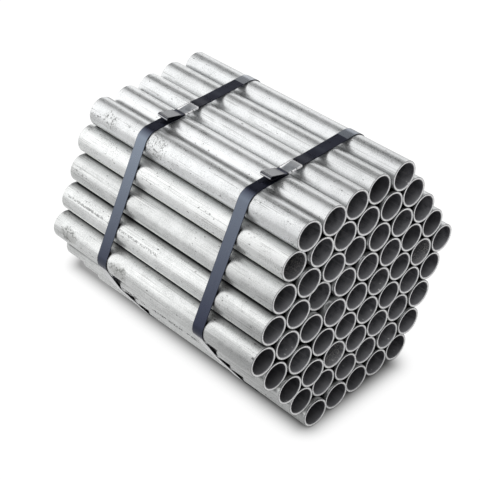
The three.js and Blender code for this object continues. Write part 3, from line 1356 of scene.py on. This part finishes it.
        paint["tube_space"] = own
        paint["print_band"] = np.repeat(band, len(radii), axis=0)
        quads = grid_quads(self.segments, len(radii), True)
        return Sheet(points.reshape(-1, 3), quads, paint)

    def dirt(
        self,
        place: TubeEnds,
        tubes: list[TubeEnds],
        angle: Array,
        y: Array,
        section: tuple[Array, Array, Array],
    ) -> dict[str, Array | float]:
        """Masks of the grime, the clean and the dusty parts of a tube.

        Args:
            place: where the tube lies.
            tubes: all tubes.
            angle: (n, 1) angles round it.
            y: places along it for each angle and section point.
            section: for each section point its place along the tube, inset and zone.

        Returns:
            Each mask by name, for the angles and the section's points.
        """
        ends, inset, zone = section
        outside = (zone < 0.5)[None, :]
        closed, clean = self.nested_shade_and_grime(place, tubes, angle[:, 0], ends)
        # The ends' rounded outer edge: burr grime, with painted shade deeper beside other tubes.
        clear, beside = self.burr_and_shade
        burr_and_shade = clear + (beside - clear) * closed.max(axis=1, keepdims=True)
        burr_and_shade = burr_and_shade * ((zone > 0.0) & (zone < 1.0))
        flank = self.marks.flank(place, np.degrees(angle)) * outside
        closed = np.maximum(closed, dict(self.marks.dims).get(place.key, 0.0) * outside)
        # The lower left tubes darken towards their front ends.
        if place.index == 0 and place.layer >= self.shut_layers:
            start, stop = self.lower_front_dim
            soil = self.lower_front_dim_share * ramp(y, stop, start - stop)
            closed = np.maximum(closed, soil * outside)
        pale = np.clip(flank, 0, 1)
        floor_side = ramp(-np.sin(angle), 0.35, 0.5)
        return {
            "nested_shade_and_grime": np.maximum(np.maximum(closed, burr_and_shade), np.clip(-flank, 0, 1)),
            # Paler flanks, and the painted highlight on undersides over a lower neighbour.
            "pale_and_highlight": np.maximum(0.6 * clean, pale) * outside,
            "lift": (0.45 * clean + 0.5 * pale) * outside,
            "gap": self.gap(place, angle) * outside,
            "soil": self.marks.soiled(place, angle, y),
            "front_dim": self.marks.dimmed(place, angle),
            # Pale dust and painted light on the floor of a bore near its mouth.
            "dust_and_light": floor_side * bell(inset, 0.0, self.dust_light_depth),
            "crust": float(place.key in self.marks.crusted),
            "deep": dict(self.marks.deeps).get(place.key, 0.0),
        }

    def build(self, tubes: list[TubeEnds], material: Material) -> None:
        """Args:
            tubes: where the tubes lie.
            material: the tubes' finish.
        """
        rng = np.random.default_rng(self.seed)
        for place in tubes:
            name = f"tube_{place.layer + 1}_{place.index + 1}"
            sheet = self.tube(place, tubes, rng)
            sheet.finish(name, material, "galvanised_tube", f"tube_row_{place.layer + 1}")


# ------------------------------------------------------------------ straps and seals


class Strap(Enum):
    """The two straps, by the name that their nodes carry."""

    FRONT = "front"
    BACK = "back"


@dataclass(frozen=True)
class Crimp:
    """How far the seal's edges are pinched in, along the strap.

    Attributes:
        places: middles of the notches, in metres from the seal's middle.
        half_length: half the length of one of them.
        depth: how far the edge goes in.
    """

    places: tuple[float, ...] = (2.5 * MM, -7.5 * MM)
    half_length: float = 1.7 * MM
    depth: float = 1.5 * MM

    def pinch(self, x: Array) -> Array:
        """The inward shift of the edge at distances x from the seal's middle: a raised cosine."""
        near = (np.clip((x - place) / self.half_length, -1, 1) for place in self.places)
        return sum(self.depth * 0.5 * (1 + np.cos(math.pi * off)) for off in near)


@dataclass(frozen=True)
class Wear:
    """How a strap's blueing grows paler, and where highlights and shade are painted on it.

    Attributes:
        paleness: how pale it is at the foot and at the top of the strap's sloping sides.
        steepness: how soon that falls away from the top.
        end_glare: how pale it shines past the crease.
        crease_highlight: how pale the painted highlight past the crease is.
        glint: X and width of a faint painted glint on top.
        glint_level: how pale that is.
        shaded: how much painted shade darkens its top beside the seal, where it climbs on to the
            lap.
        underside: how pale it shines just below the widest layer, and further down.
        right_share: the share of that on the right side.
    """

    paleness: Range
    steepness: float
    end_glare: float
    crease_highlight: float = 0.72
    glint: Range = (36 * MM, 5 * MM)
    glint_level: float = 0.16
    shaded: float = 0.6
    underside: Range = (0.35, 0.9)
    right_share: float = 0.35


@dataclass(frozen=True)
class StripRun:
    """A strip along its path, as its masks read it.

    Attributes:
        x: X of each point of its inner face's path.
        z: Z of each.
        aside: X of the outward unit normal there.
        up: Z of it.
        inner_face: which points of the section are on the inner face.
        flat: which of them are off the rounded edges.
    """

    x: Array
    z: Array
    aside: Array
    up: Array
    inner_face: Array
    flat: Array


@dataclass
class StrapBand:
    """One strap: a strip carried round the bundle, lapped on top and folded at its free end.

    Attributes:
        which: the front or the back strap.
        rise: how high its free end stands over the seal's mouth.
        lean: how much higher the back edge of the free end stands than the front edge.
        wear: how it has faded.
        thickness: of the strip, in metres.
        lap: the gap between its two thicknesses where it laps.
        lower_reach: how far the covered end looks out of the seal.
        lower_gap: from there to the foot of the ramp.
        ramp: the length over which the strip climbs on to its covered end.
        tail_run: how far the free end reaches out of the seal.
        tail_bend: radius with which it lifts off there.
        fold: inner radius of its fold.
        closing: how far the folded leaf leans back on to the free end, in degrees.
        setback: how far the leaf ends short of the seal.
        tuck: how much narrower the strip is inside the seal.
        crease: X of the crease near its right end, past which it is pale.
        crease_width: how soon it turns pale there.
        crimp: the seal's notches.
    """

    which: Strap
    rise: float
    lean: float
    wear: Wear
    thickness: float = 1.0 * MM
    lap: float = 0.2 * MM
    lower_reach: float = 3.0 * MM
    lower_gap: float = 0.5 * MM
    ramp: float = 22.0 * MM
    tail_run: float = 32.0 * MM
    tail_bend: float = 4.0 * MM
    fold: float = 2.3 * MM
    closing: float = 9.0
    setback: float = 6.3 * MM
    tuck: float = 0.8 * MM
    crease: float = 82.5 * MM
    crease_width: float = 0.6 * MM
    crimp: Crimp = Crimp()

    def measure(self, tubes: list[TubeEnds]) -> None:
        """Takes the strap's places from the frame.

        Args:
            tubes: the tubes that it goes round.
        """
        low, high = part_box(f"strap_{self.which.value}")
        seal_low, seal_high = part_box(f"strap_seal_{self.which.value}")
        self.middle_y = centre(low[1], high[1])
        self.half_width = (high[1] - low[1]) / 2
        self.seal_x = centre(seal_low[0], seal_high[0])
        self.seal_half = (seal_high[0] - seal_low[0]) / 2
        spots = np.array([(t.x, t.z) + t.shift(self.middle_y) for t in tubes])
        top, bottom = spots[:, 1].max(), spots[:, 1].min()
        self.belt = centre(top, bottom)
        self.corners, self.turns = self.wrapped(spots)
        self.inner = bottom - low[2] - self.thickness
        self.level = float(top + self.inner)

    def wrapped(self, spots: Array) -> tuple[Array, Array]:
        """The tubes that the strap bends round, from the top left one round to the top right.

        Args:
            spots: middles of all tubes at the strap, X and Z.

        Returns:
            The middles of the tubes, and for each the angles at which the strap comes to
            it and leaves it, in degrees.
        """

        def leaving(ring: Array) -> Array:
            """The angle at which the strap leaves each tube of the ring, in degrees."""
            ahead = np.roll(ring, -1, axis=0) - ring
            return np.degrees(np.arctan2(-ahead[:, 0], ahead[:, 1]))

        ring = spots[convex_hull_2d([tuple(spot) for spot in spots])]
        for _ in range(2):
            leave = leaving(ring)
            turn = (leave - np.roll(leave, 1)) % 360
            ring = ring[(turn > 0.3) & (turn < 180)]
        first = int(np.argmin(ring[:, 0] - 10 * ring[:, 1]))
        ring, leave = np.roll(ring, -first, axis=0), np.roll(leaving(ring), -first)
        turn = (leave - np.roll(leave, 1)) % 360
        stop = 90 + np.cumsum(turn)
        return ring, np.stack([stop - turn, stop], axis=1)

    def path(self) -> Array:
        """The strip's inner face in the X-Z plane, from its covered end to its free end.

        Round each outer tube that it bends over the face is an arc, straight in between.
        On top it comes down over the covered end, goes through the seal, bends up, folds
        back over itself and ends short of the seal.

        Returns:
            (n, 2) points, X and Z.
        """

        def level_run(x: Array, z: float | Array) -> Array:
            """Points at the places x and the height z."""
            return np.stack([x, np.broadcast_to(z, x.shape)], axis=1)

        lap_level = self.level + self.thickness + self.lap
        lower_x = self.seal_x + self.seal_half + self.lower_reach
        ramp_low = lower_x + self.lower_gap + self.ramp
        inside = self.seal_x + np.linspace(self.seal_half, -self.seal_half, 57)
        runs = [level_run(np.array([lower_x]), self.level), level_run(inside, self.level)]
        for corner, (start, stop) in zip(self.corners, self.turns):
            turn = arc_angles(start, stop, max(1, round((stop - start) / 5)))
            runs.append(corner + self.inner * circle(turn))
        by_crease = self.crease + np.array([1.5, 0.3, -0.3, -1.5]) * MM
        onwards = np.linspace(56 * MM, ramp_low + 2 * MM, 14)
        runs.append(level_run(np.concatenate([by_crease, onwards]), self.level))
        step = np.linspace(0, 1, 9)
        climb = self.level + (lap_level - self.level) * ease(step)
        runs.append(level_run(ramp_low - self.ramp * step, climb))
        runs.append(level_run(inside, lap_level))
        slope = math.atan2(self.rise, self.tail_run)
        bend = np.linspace(0, slope, 6)[1:]
        lifted = lap_level + self.tail_bend * (1 - np.cos(bend))
        mouth_x = self.seal_x - self.seal_half
        runs.append(level_run(mouth_x - self.tail_bend * np.sin(bend), lifted))
        length = math.hypot(self.rise, self.tail_run)
        out = np.array([-math.cos(slope), math.sin(slope)])
        up = np.array([math.sin(slope), math.cos(slope)])
        runs.append(runs[-1][-1] + out * np.linspace(0, length, 8)[1:, None])
        radius = self.fold + self.thickness
        turn = arc_angles(0, 180 + self.closing, 21)[1:, None]
        nose = runs[-1][-1] + up * radius
        runs.append(nose + radius * (out * np.sin(turn) - up * np.cos(turn)))
        closing = math.radians(self.closing)
        leaf = out * math.cos(closing) + up * math.sin(closing)
        runs.append(runs[-1][-1] - leaf * np.linspace(0, length - self.setback, 8)[1:, None])
        return np.concatenate(runs)

    def section(self) -> tuple[Array, Array, Array]:
        """The strip's section as a closed loop with rounded edges.

        Returns:
            Across (-1 to 1 of the half width), an extra shift across in metres, and the
            height from the inner to the outer face.
        """
        edge = self.thickness / 2
        turn = arc_angles(-90, 90, 6)
        side_u = np.cos(turn) * edge - edge
        side_w = edge + np.sin(turn) * edge
        flat, none = np.linspace(0.92, -0.92, 7), np.zeros(7)
        across = np.concatenate([np.ones(7), flat, -np.ones(7), flat[::-1]])
        shift = np.concatenate([side_u, none, -side_u[::-1], none])
        height = np.concatenate([side_w, np.full(7, self.thickness), side_w[::-1], none])
        return across, shift, height

    def on_tail(self, x: Array, z: Array, thicknesses: float) -> Array:
        """Which points are on the free end, more than so many thicknesses up."""
        return (x < self.seal_x - self.seal_half) & (z > self.level + thicknesses * self.thickness)

    def sheet(self) -> Sheet:
        """The strip's surface: its section carried along the path.

        At path point p with outward normal n, a section point with offset u across and
        height w lies at p + w n in X-Z and at middle + u in Y. Between the seal's ends the
        half width is less by the crimp's pinch.

        Returns:
            The surface with its own coordinates and masks painted on it.
        """
        path = self.path()
        along = np.diff(path, axis=0)
        steps = np.linalg.norm(along, axis=1, keepdims=True)
        along /= steps
        normal = np.stack([along[:, 1], -along[:, 0]], axis=1)
        before = np.vstack([normal[:1], normal])
        ahead = np.vstack([normal, normal[-1:]])
        mitre = (before + ahead) / (1 + (before * ahead).sum(1, keepdims=True))
        across, shift, height = self.section()
        from_seal = path[:, 0] - self.seal_x
        in_seal = np.abs(from_seal) <= self.seal_half + 1e-6
        in_seal &= path[:, 1] > self.level - self.thickness
        in_seal &= path[:, 1] < self.level + 2 * self.thickness
        tucked = self.tuck * ramp(np.abs(from_seal), self.seal_half, -2 * MM)
        half = self.half_width - np.where(in_seal, self.crimp.pinch(from_seal) + tucked, 0.0)
        out = across[None, :] * half[:, None] + shift[None, :]
        tail = ramp(path[:, 0], self.seal_x - self.seal_half, -self.tail_run)
        leaning = tail * (path[:, 1] > self.level + self.thickness) * self.lean
        twist = leaning[:, None] * (out / self.half_width - 1) * 0.5
        x = path[:, :1] + mitre[:, :1] * height[None, :]
        z = path[:, 1:] + mitre[:, 1:] * height[None, :] + twist
        points = np.stack([x, self.middle_y + out, z], axis=-1)
        count, ring = out.shape
        left = np.arange(4, ring // 2 + 4)
        caps = end_caps(left, (7 - left) % ring, (count - 1) * ring)
        distance = np.concatenate([[0], np.cumsum(steps)])[:, None]
        spread = (np.broadcast_to(distance, out.shape), np.broadcast_to(height, out.shape))
        flat = np.abs(across) < 1
        run = StripRun(*path.T, *ahead.T, (height == 0.0) & flat, flat)
        masks = {"edge": self.dark, "tone_and_highlight": self.tone_and_highlight, "bare": self.bare, "glare": self.glare}
        paint = {key: np.broadcast_to(mask(run), out.shape).ravel() for key, mask in masks.items()}
        paint["strip_space"] = np.stack([out, *spread], axis=-1).reshape(-1, 3)
        quads = np.vstack([grid_quads(count, ring, False), caps])
        return Sheet(points.reshape(-1, 3), quads, paint)

    def past_crease(self, run: StripRun) -> Array:
        """How far each point of the path is past the crease on top, from 0 to 1."""
        past = np.clip((run.x - self.crease) / self.crease_width + 0.5, 0, 1)
        return past * (run.z > self.belt)

    def dark(self, run: StripRun) -> Array:
        """Where the strip is dark, as painted shade: its edges, beside the seal and in the folds of
        its free end.

        Args:
            run: the strip along its path.

        Returns:
            0 to 1 for each path point and section point.
        """
        climb = (run.x > self.seal_x + self.seal_half) & (run.z > self.level + 1e-5)
        folded = self.on_tail(run.x, run.z, 1)
        upper = bell(run.up, -0.76, 0.17) * folded
        lower = bell(run.up, 0.5, 0.3) * folded * (np.abs(run.up - 0.96) > 0.03)
        creases = np.maximum(upper, lower)[:, None] * run.inner_face * 1.4
        edge = np.maximum(~run.flat, self.wear.shaded * climb[:, None])
        return np.clip(np.maximum(edge, creases), 0, 1)

    def tone_and_highlight(self, run: StripRun) -> Array:
        """How pale the blueing is along the path: deep on top, then paler high up the sides, with
        a painted glint on top and a painted highlight past the crease.

        Args:
            run: the strip along its path.

        Returns:
            0 for deep to 1 for pale, at each point of the path.
        """
        foot, head = self.wear.paleness
        height = ramp(run.z, self.belt, self.level - self.belt)
        on_side = ramp(run.up, 1.0, -0.35) * (run.z <= self.level + 1e-6)
        side = on_side * (foot + (head - foot) * height**self.wear.steepness)
        on_top = (run.up > 0.6) & (run.x > self.seal_x)
        glint_patch = self.wear.glint_level * bell(run.x, *self.wear.glint) * on_top
        past = self.wear.crease_highlight * self.past_crease(run)
        return np.maximum(np.maximum(side, glint_patch), past)[:, None]

    def glare(self, run: StripRun) -> Array:
        """Where the blueing shines pale: below the widest layer, past the crease and on the fold.

        Args:
            run: the strip along its path.

        Returns:
            0 to 1 for each path point and section point.
        """
        down = np.degrees(np.arctan2(-run.up, np.abs(run.aside)))
        low, full = self.wear.underside
        under = (down > 18) * np.clip(low + (1 - low) * (down - 18) / 10, 0, 1) * full
        under = under * np.where(run.x > 0, self.wear.right_share, 1.0)
        outer = np.maximum(under, self.wear.end_glare * self.past_crease(run))
        on_fold = self.on_tail(run.x, run.z, 1)
        nose = bell(run.up, -0.2, 0.26) * on_fold * 0.9
        outer = outer[:, None] * run.flat * (~on_fold)[:, None]
        return np.where(run.inner_face, nose[:, None], outer)

    def bare(self, run: StripRun) -> Array:
        """How bare the free end's inner face is, which faces up on the folded leaf.

        Args:
            run: the strip along its path.

        Returns:
            1 on the folded leaf, a painted highlight stripe round the middle of the fold and 0
            elsewhere.
        """
        on_tail = self.on_tail(run.x, run.z, 2)
        leaf = (run.up < -0.9) & on_tail
        worn = np.where(leaf, 1.0, bell(run.up, -0.1, 0.3) * on_tail)
        return worn[:, None] * run.inner_face

    def build(self, material: Material) -> None:
        name = self.which.value
        self.sheet().finish(f"band_{name}", material, "blued_strap", f"strap_{name}")


@dataclass
class CrimpedSeal:
    """A sheet folded round both thicknesses of a strap and pinched into its edges.

    Attributes:
        band: the strap that it holds.
        gauge: the sheet's thickness, in metres.
        slack: the gap between it and the strap.
        bend: radius of its bends.
        mouth: the width of the slit between its two lips.
        clipped: how far its corners are cut back.
        bulge: how far the crimped sheet lifts.
    """

    band: StrapBand
    gauge: float = 0.6 * MM
    slack: float = 0.1 * MM
    bend: float = 1.3 * MM
    mouth: float = 5.0 * MM
    clipped: float = 0.6 * MM
    bulge: float = 0.3 * MM

    def section(self) -> tuple[Array, Array, Array]:
        """Middle line of the folded sheet across the strap, from one lip round to the other.

        Returns:
            Y and Z of the line relative to the strap's middle and to the lower thickness's
            inner face, its outward normals, and each point's share of the half width.
        """
        band = self.band
        half = band.half_width + self.slack + self.gauge / 2
        low = -self.slack - self.gauge / 2
        high = 2 * band.thickness + band.lap + self.slack + self.gauge / 2
        bend = min(self.bend, (high - low) / 2)
        side = half - bend
        turn, up = arc_angles(-90, 0, 4), arc_angles(0, 90, 4)
        lip = np.linspace(self.mouth / 2, side, 6)[:-1]
        run = np.stack([lip, np.full(5, low)], axis=1)
        run = np.concatenate([run, [side, low + bend] + bend * circle(turn)])
        run = np.concatenate([run, [side, high - bend] + bend * circle(up)])
        normal = np.concatenate([np.tile([[0.0, -1.0]], (5, 1)), circle(turn), circle(up)])
        top = np.linspace(side, -side, 25)[1:-1]
        top = np.stack([top, np.full(len(top), high)], axis=1)
        up = np.tile([[0.0, 1.0]], (len(top), 1))
        flip = np.array([-1.0, 1.0])
        line = np.concatenate([run, top, (run * flip)[::-1]])
        normals = np.concatenate([normal, up, (normal * flip)[::-1]])
        return line, normals, np.abs(line[:, 0]) / half

    def sheet(self) -> Sheet:
        """The seal's surface: outer and inner faces of the sheet along the strap.

        The section point (y, z) is carried to x = s (L - max(0, |y| - (W - clip))), which
        clips the corners, with s from -1 to 1. The edge goes in by the crimp's pinch,
        fading towards the middle, and the sheet there bulges by a share of it.

        Returns:
            The surface with its masks painted on it.
        """
        band = self.band
        line, normals, share = self.section()
        stations = np.linspace(-1, 1, 85)[:, None]
        off = np.abs(line[:, 0])
        x = stations * (band.seal_half - np.clip(off - (off.max() - self.clipped), 0, None))
        pinch = band.crimp.pinch(x)
        inward = pinch * ramp(share, 0.55, 0.45) ** 2
        swell = ramp(share, 0.35, 0.4) * ramp(share, 1.0, -0.2)
        lift = pinch / band.crimp.depth * swell * self.bulge * np.sign(normals[:, 1])
        y = line[:, 0] - np.sign(line[:, 0]) * inward
        middle = np.stack([x, y, line[:, 1] + lift], axis=-1)
        out = np.concatenate([np.zeros((len(line), 1)), normals * (self.gauge / 2)], axis=1)
        loop = np.concatenate([middle + out, (middle - out)[:, ::-1]], axis=1)
        loop += np.array([band.seal_x, band.middle_y, band.level])
        count, ring = loop.shape[:2]
        left = np.arange(ring // 2)
        caps = end_caps(left, ring - 1 - left, (count - 1) * ring)
        quads = np.vstack([grid_quads(count, ring, False), caps])[:, ::-1]
        return Sheet(loop.reshape(-1, 3), quads, self.masks(stations, pinch, line, normals, share))

    def masks(
        self, stations: Array, pinch: Array, line: Array, normals: Array, share: Array
    ) -> dict[str, Array]:
        """The painted highlights and painted shade of the seal's outer face; the inner has none.

        Args:
            stations: (n, 1) places along the seal, from -1 to 1.
            pinch: how far the edge goes in at each station and section point.
            line: the section's middle line.
            normals: its outward normals.
            share: each section point's share of the half width.

        Returns:
            Each mask by name.
        """
        on_top = (normals[:, 1] > -0.1).astype(float)
        across = line[:, 0] / self.band.half_width
        rim = np.zeros((len(stations), 1))
        rim[[0, 1, -2, -1]] = 0.8
        # Painted shade: a dark line along the top's edges, in the crimp's notches and in the gap at
        # the mouth.
        outline = ramp(across, 0.88, 0.05) * on_top
        start = 0.5 + 0.24 * ramp(stations, -0.6, 1.4)
        back = ramp(across[None, :], start, 0.08) * on_top * (stations > -0.93)
        pinched = np.clip(pinch / self.band.crimp.depth - 0.35, 0, 1) * ramp(share, 0.8, 0.1)
        shut = np.clip((-0.97 - stations) / 0.03 + 1, 0, 1) * (share < 0.9)
        notch_shade = np.maximum(np.maximum(pinched, 0.6 * shut), 0.7 * outline)
        masks = {
            # Painted highlights: the ends' rims, the rolled edges, the back edge and the right
            # end's sheen.
            "edge": np.maximum(rim, ramp(share, 0.86, 0.06)),
            "back_highlight": back * (1 - outline),
            "sheen": ramp(stations, -0.2, 1.2) ** 2 * on_top,
            "notch_shade": np.clip(1.5 * notch_shade, 0, 1),
        }
        inner = {"edge": np.broadcast_to(rim, pinch.shape)}
        bare = np.zeros_like(pinch)
        return {
            key: np.concatenate([mask, inner.get(key, bare)], axis=1).ravel()
            for key, mask in masks.items()
        }

    def build(self, material: Material) -> None:
        name = self.band.which.value
        self.sheet().finish(f"seal_{name}", material, "zinc_seal", f"strap_seal_{name}")


# ------------------------------------------------------------------ studio


def unit(vector: tuple[float, ...]) -> Array:
    """The vector at a length of 1."""
    return np.array(vector) / np.linalg.norm(vector)


@dataclass(frozen=True)
class SkyPatch:
    """A round part of the surroundings with a brightness of its own.

    Attributes:
        direction: towards its middle.
        inner: angle from the middle up to which it has its full level, in degrees.
        outer: angle at which it ends.
        level: its brightness, where 1 is white.
    """

    direction: Point
    inner: float
    outer: float
    level: float


@dataclass(frozen=True)
class Studio:
    """Pale floor, soft surroundings and the camera.

    Attributes:
        azimuth: the camera's bearing from the bundle, in degrees from -Y.
        elevation: how far up it stands, in degrees.
        roll: its turn about the view axis, in degrees.
        camera_at: its position, in metres.
        lens: its focal length, in millimetres.
        sensor: its sensor's width, in millimetres.
        floor_half: half the floor's side, in metres.
        floor_colour: the floor's colour for the light that it throws back.
        floor_seen: the same as the camera sees it.
        floor_glow: how brightly it shines to the camera, clear of the shadow.
        mirrored_glow: the same as it is mirrored in the bundle.
        mirrored_least: the share of that which is left under the bundle.
        shade_middle: X and Y of the shadow's middle.
        shade_half: half its length in X and Y.
        shade_slant: how far forward its back edge slants from left to right.
        shade_slant_end: Y at which it slants fully.
        shade_behind: the places in Y between which the least value sets in, and that value.
        shade_reach: how far out the shadow fades away.
        shade_power: how evenly it does.
        contact_reach: how far out the dark line along the lines of contact reaches.
        contact_clear: how open the floor is where that line ends, from 0 to 1.
        surround: brightness of the surroundings.
        patches: parts of them with another brightness.
    """

    azimuth: float = -41.089
    elevation: float = 38.331
    roll: float = -3.052
    camera_at: Point = (-1.0547, -1.1821, 1.4281)
    lens: float = 95.337
    sensor: float = 36.0
    floor_half: float = 16.0
    floor_colour: Colour = (0.55, 0.55, 0.55)
    floor_seen: Colour = (0.12, 0.12, 0.12)
    floor_glow: float = 0.95
    mirrored_glow: float = 0.27
    mirrored_least: float = 0.4
    shade_middle: Range = (-0.0125, 0.054)
    shade_half: Range = (0.0875, 0.271)
    shade_slant: float = 0.5
    shade_slant_end: float = 0.2
    shade_behind: Point = (0.228, 0.25, 0.25)
    shade_reach: float = 0.028
    shade_power: float = 2.2
    contact_reach: float = 0.012
    contact_clear: float = 0.6
    surround: float = 0.75
    patches: tuple[SkyPatch, ...] = (
        SkyPatch((-0.60, 0.55, 0.58), 26.0, 52.0, 1.6),
        SkyPatch((0.80, 0.59, 0.12), 12.0, 26.0, 1.45),
        SkyPatch((0.465, 0.59, 0.66), 9.0, 17.0, 0.03),
        SkyPatch((0.2, -0.9, 0.3), 30.0, 70.0, 0.4),
        SkyPatch((-0.05, -0.5, 0.86), 12.0, 32.0, 1.5),
    )

    def build(self) -> None:
        """Adds everything that isn't part of the bundle."""
        self.camera()
        self.world()
        self.floor()
        bpy.context.scene.view_settings.view_transform = "Standard"

    def camera(self) -> None:
        """Adds the camera, which looks along -back, and makes it the scene's own."""
        data = bpy.data.cameras.new("camera")
        data.lens = self.lens
        data.sensor_width = self.sensor
        camera = linked("camera", data)
        turn, tip, roll = (math.radians(a) for a in (self.azimuth, self.elevation, self.roll))
        flat = math.cos(tip)
        back = np.array([math.sin(turn) * flat, -math.cos(turn) * flat, math.sin(tip)])
        right = unit(np.cross([0.0, 0.0, 1.0], back))
        up = np.cross(back, right)
        matrix = np.eye(4)
        matrix[:3, 0] = math.cos(roll) * right + math.sin(roll) * up
        matrix[:3, 1] = math.cos(roll) * up - math.sin(roll) * right
        matrix[:3, 2], matrix[:3, 3] = back, self.camera_at
        camera.matrix_world = Matrix(matrix.tolist())
        bpy.context.scene.camera = camera

    def world(self) -> None:
        """Soft surroundings with brighter and darker patches."""
        world = bpy.data.worlds.new("studio")
        world.use_nodes = True
        bpy.context.scene.world = world
        tree = Tree(world.node_tree)
        heading = tree.vector("NORMALIZE", tree.add("TexCoord").outputs["Generated"])
        level: object = (self.surround,) * 3
        for patch in self.patches:
            towards = tree.vector("DOT_PRODUCT", heading, tuple(unit(patch.direction)))
            edges = (math.cos(math.radians(angle)) for angle in (patch.outer, patch.inner))
            level = tree.blend(tree.span(towards, *edges), level, (patch.level,) * 3)
        background = tree.add("Background", None, Color=level, Strength=1.0)
        tree.add("OutputWorld", None, Surface=background.outputs[0])

    def shade(self, tree: Tree) -> Socket:
        """The bundle's soft shadow: 0 under it, 1 well clear of it.

        At distance d outside a rectangle the value is 1 - exp(-(d / reach) ** power). The
        rectangle's back edge slants forward from left to right, and behind the back ends the
        value stays above a least one.

        Args:
            tree: the floor's tree.

        Returns:
            The value.
        """
        across, along = tree.axis(0), tree.axis(1)
        from_left = tree.most(tree.minus(across, self.shade_middle[0] - self.shade_half[0]), 0.0)
        slant = tree.span(along, 0.0, self.shade_slant_end, 0.0, self.shade_slant)
        places = (across, tree.plus(along, tree.times(from_left, slant)))
        sides = []
        for place, middle, half in zip(places, self.shade_middle, self.shade_half):
            off = tree.most(tree.minus(tree.distance(place, middle), half), 0.0)
            sides.append(tree.times(off, off))
        away = tree.math("DIVIDE", tree.math("SQRT", tree.plus(*sides)), self.shade_reach)
        fall = tree.times(tree.math("POWER", away, self.shade_power), -1.0)
        start, full, least = self.shade_behind
        clear = tree.minus(1.0, tree.math("EXPONENT", fall))
        return tree.most(clear, tree.span(along, start, full, 0.0, least))

    def floor(self) -> None:
        """A pale floor that keeps the bundle's shadow and shows near white to the camera."""
        material, tree, shader = new_material("floor")
        path = tree.add("LightPath").outputs
        camera = path["Is Camera Ray"]
        mirrored = tree.most(path["Is Glossy Ray"], path["Is Transmission Ray"])
        shade = self.shade(tree)
        contact = tree.add("AmbientOcclusion", {"samples": 16}, Distance=self.contact_reach)
        clear = tree.span(contact.outputs["AO"], 0.0, self.contact_clear)
        least = self.mirrored_least * self.mirrored_glow
        dimmed = tree.span(shade, 0.0, 1.0, least, self.mirrored_glow)
        glow = tree.plus(
            tree.times(camera, shade, clear, self.floor_glow), tree.times(mirrored, dimmed)
        )
        tree.fill(
            shader,
            {
                "Base Color": tree.blend(camera, self.floor_colour, self.floor_seen),
                "Roughness": 1.0,
                "Specular IOR Level": 0.0,
                "Emission Color": (1.0, 1.0, 1.0),
                "Emission Strength": glow,
            },
        )
        corners = [(-1.0, -1.0, 0.0), (1.0, -1.0, 0.0), (1.0, 1.0, 0.0), (-1.0, 1.0, 0.0)]
        sheet = Sheet(np.array(corners) * self.floor_half, np.array([[0, 1, 2, 3]]))
        ground = sheet.build("floor", material)


# ------------------------------------------------------------------ assembly


def main() -> None:
    """Builds the bundle in order, then the studio."""
    logging.basicConfig(level=logging.INFO, format="%(name)s: %(message)s")
    effects = Effects()
    stack = TubeStack()
    tubes = stack.layout()
    front = StrapBand(Strap.FRONT, 5.2 * MM, 0.0, Wear((0.05, 0.74), 5.0, 0.1))
    back = StrapBand(Strap.BACK, 4.4 * MM, 1.0 * MM, Wear((0.14, 1.05), 1.5, 0.24))
    for band in (front, back):
        band.measure(tubes)
    marks = (
        ScuffMark((-0.1164, 0.183, 0.3747), 0.015, 1.2, 0.1, 6.0),
        ScuffMark((-0.1159, 0.071, 0.3754), 0.019, 1.3, 0.06, 7.0),
        ScuffMark((-0.2155, 0.189, 0.2016), 0.013, 1.7, 0.5, 3.4),
        ScuffMark((-0.2160, 0.065, 0.2000), 0.013, 1.6, 0.5, 3.4),
    )
    zinc = Galvanised(marks, (front.middle_y, back.middle_y), front.half_width)
    stack.build(tubes, zinc.material(effects))
    strap_finish = BluedStrap().material(effects)
    seal_finish = ZincSeal().material(effects)
    for band in (front, back):
        band.build(strap_finish)
        CrimpedSeal(band).build(seal_finish)
    Studio().build()


if __name__ == "__main__":
    main()
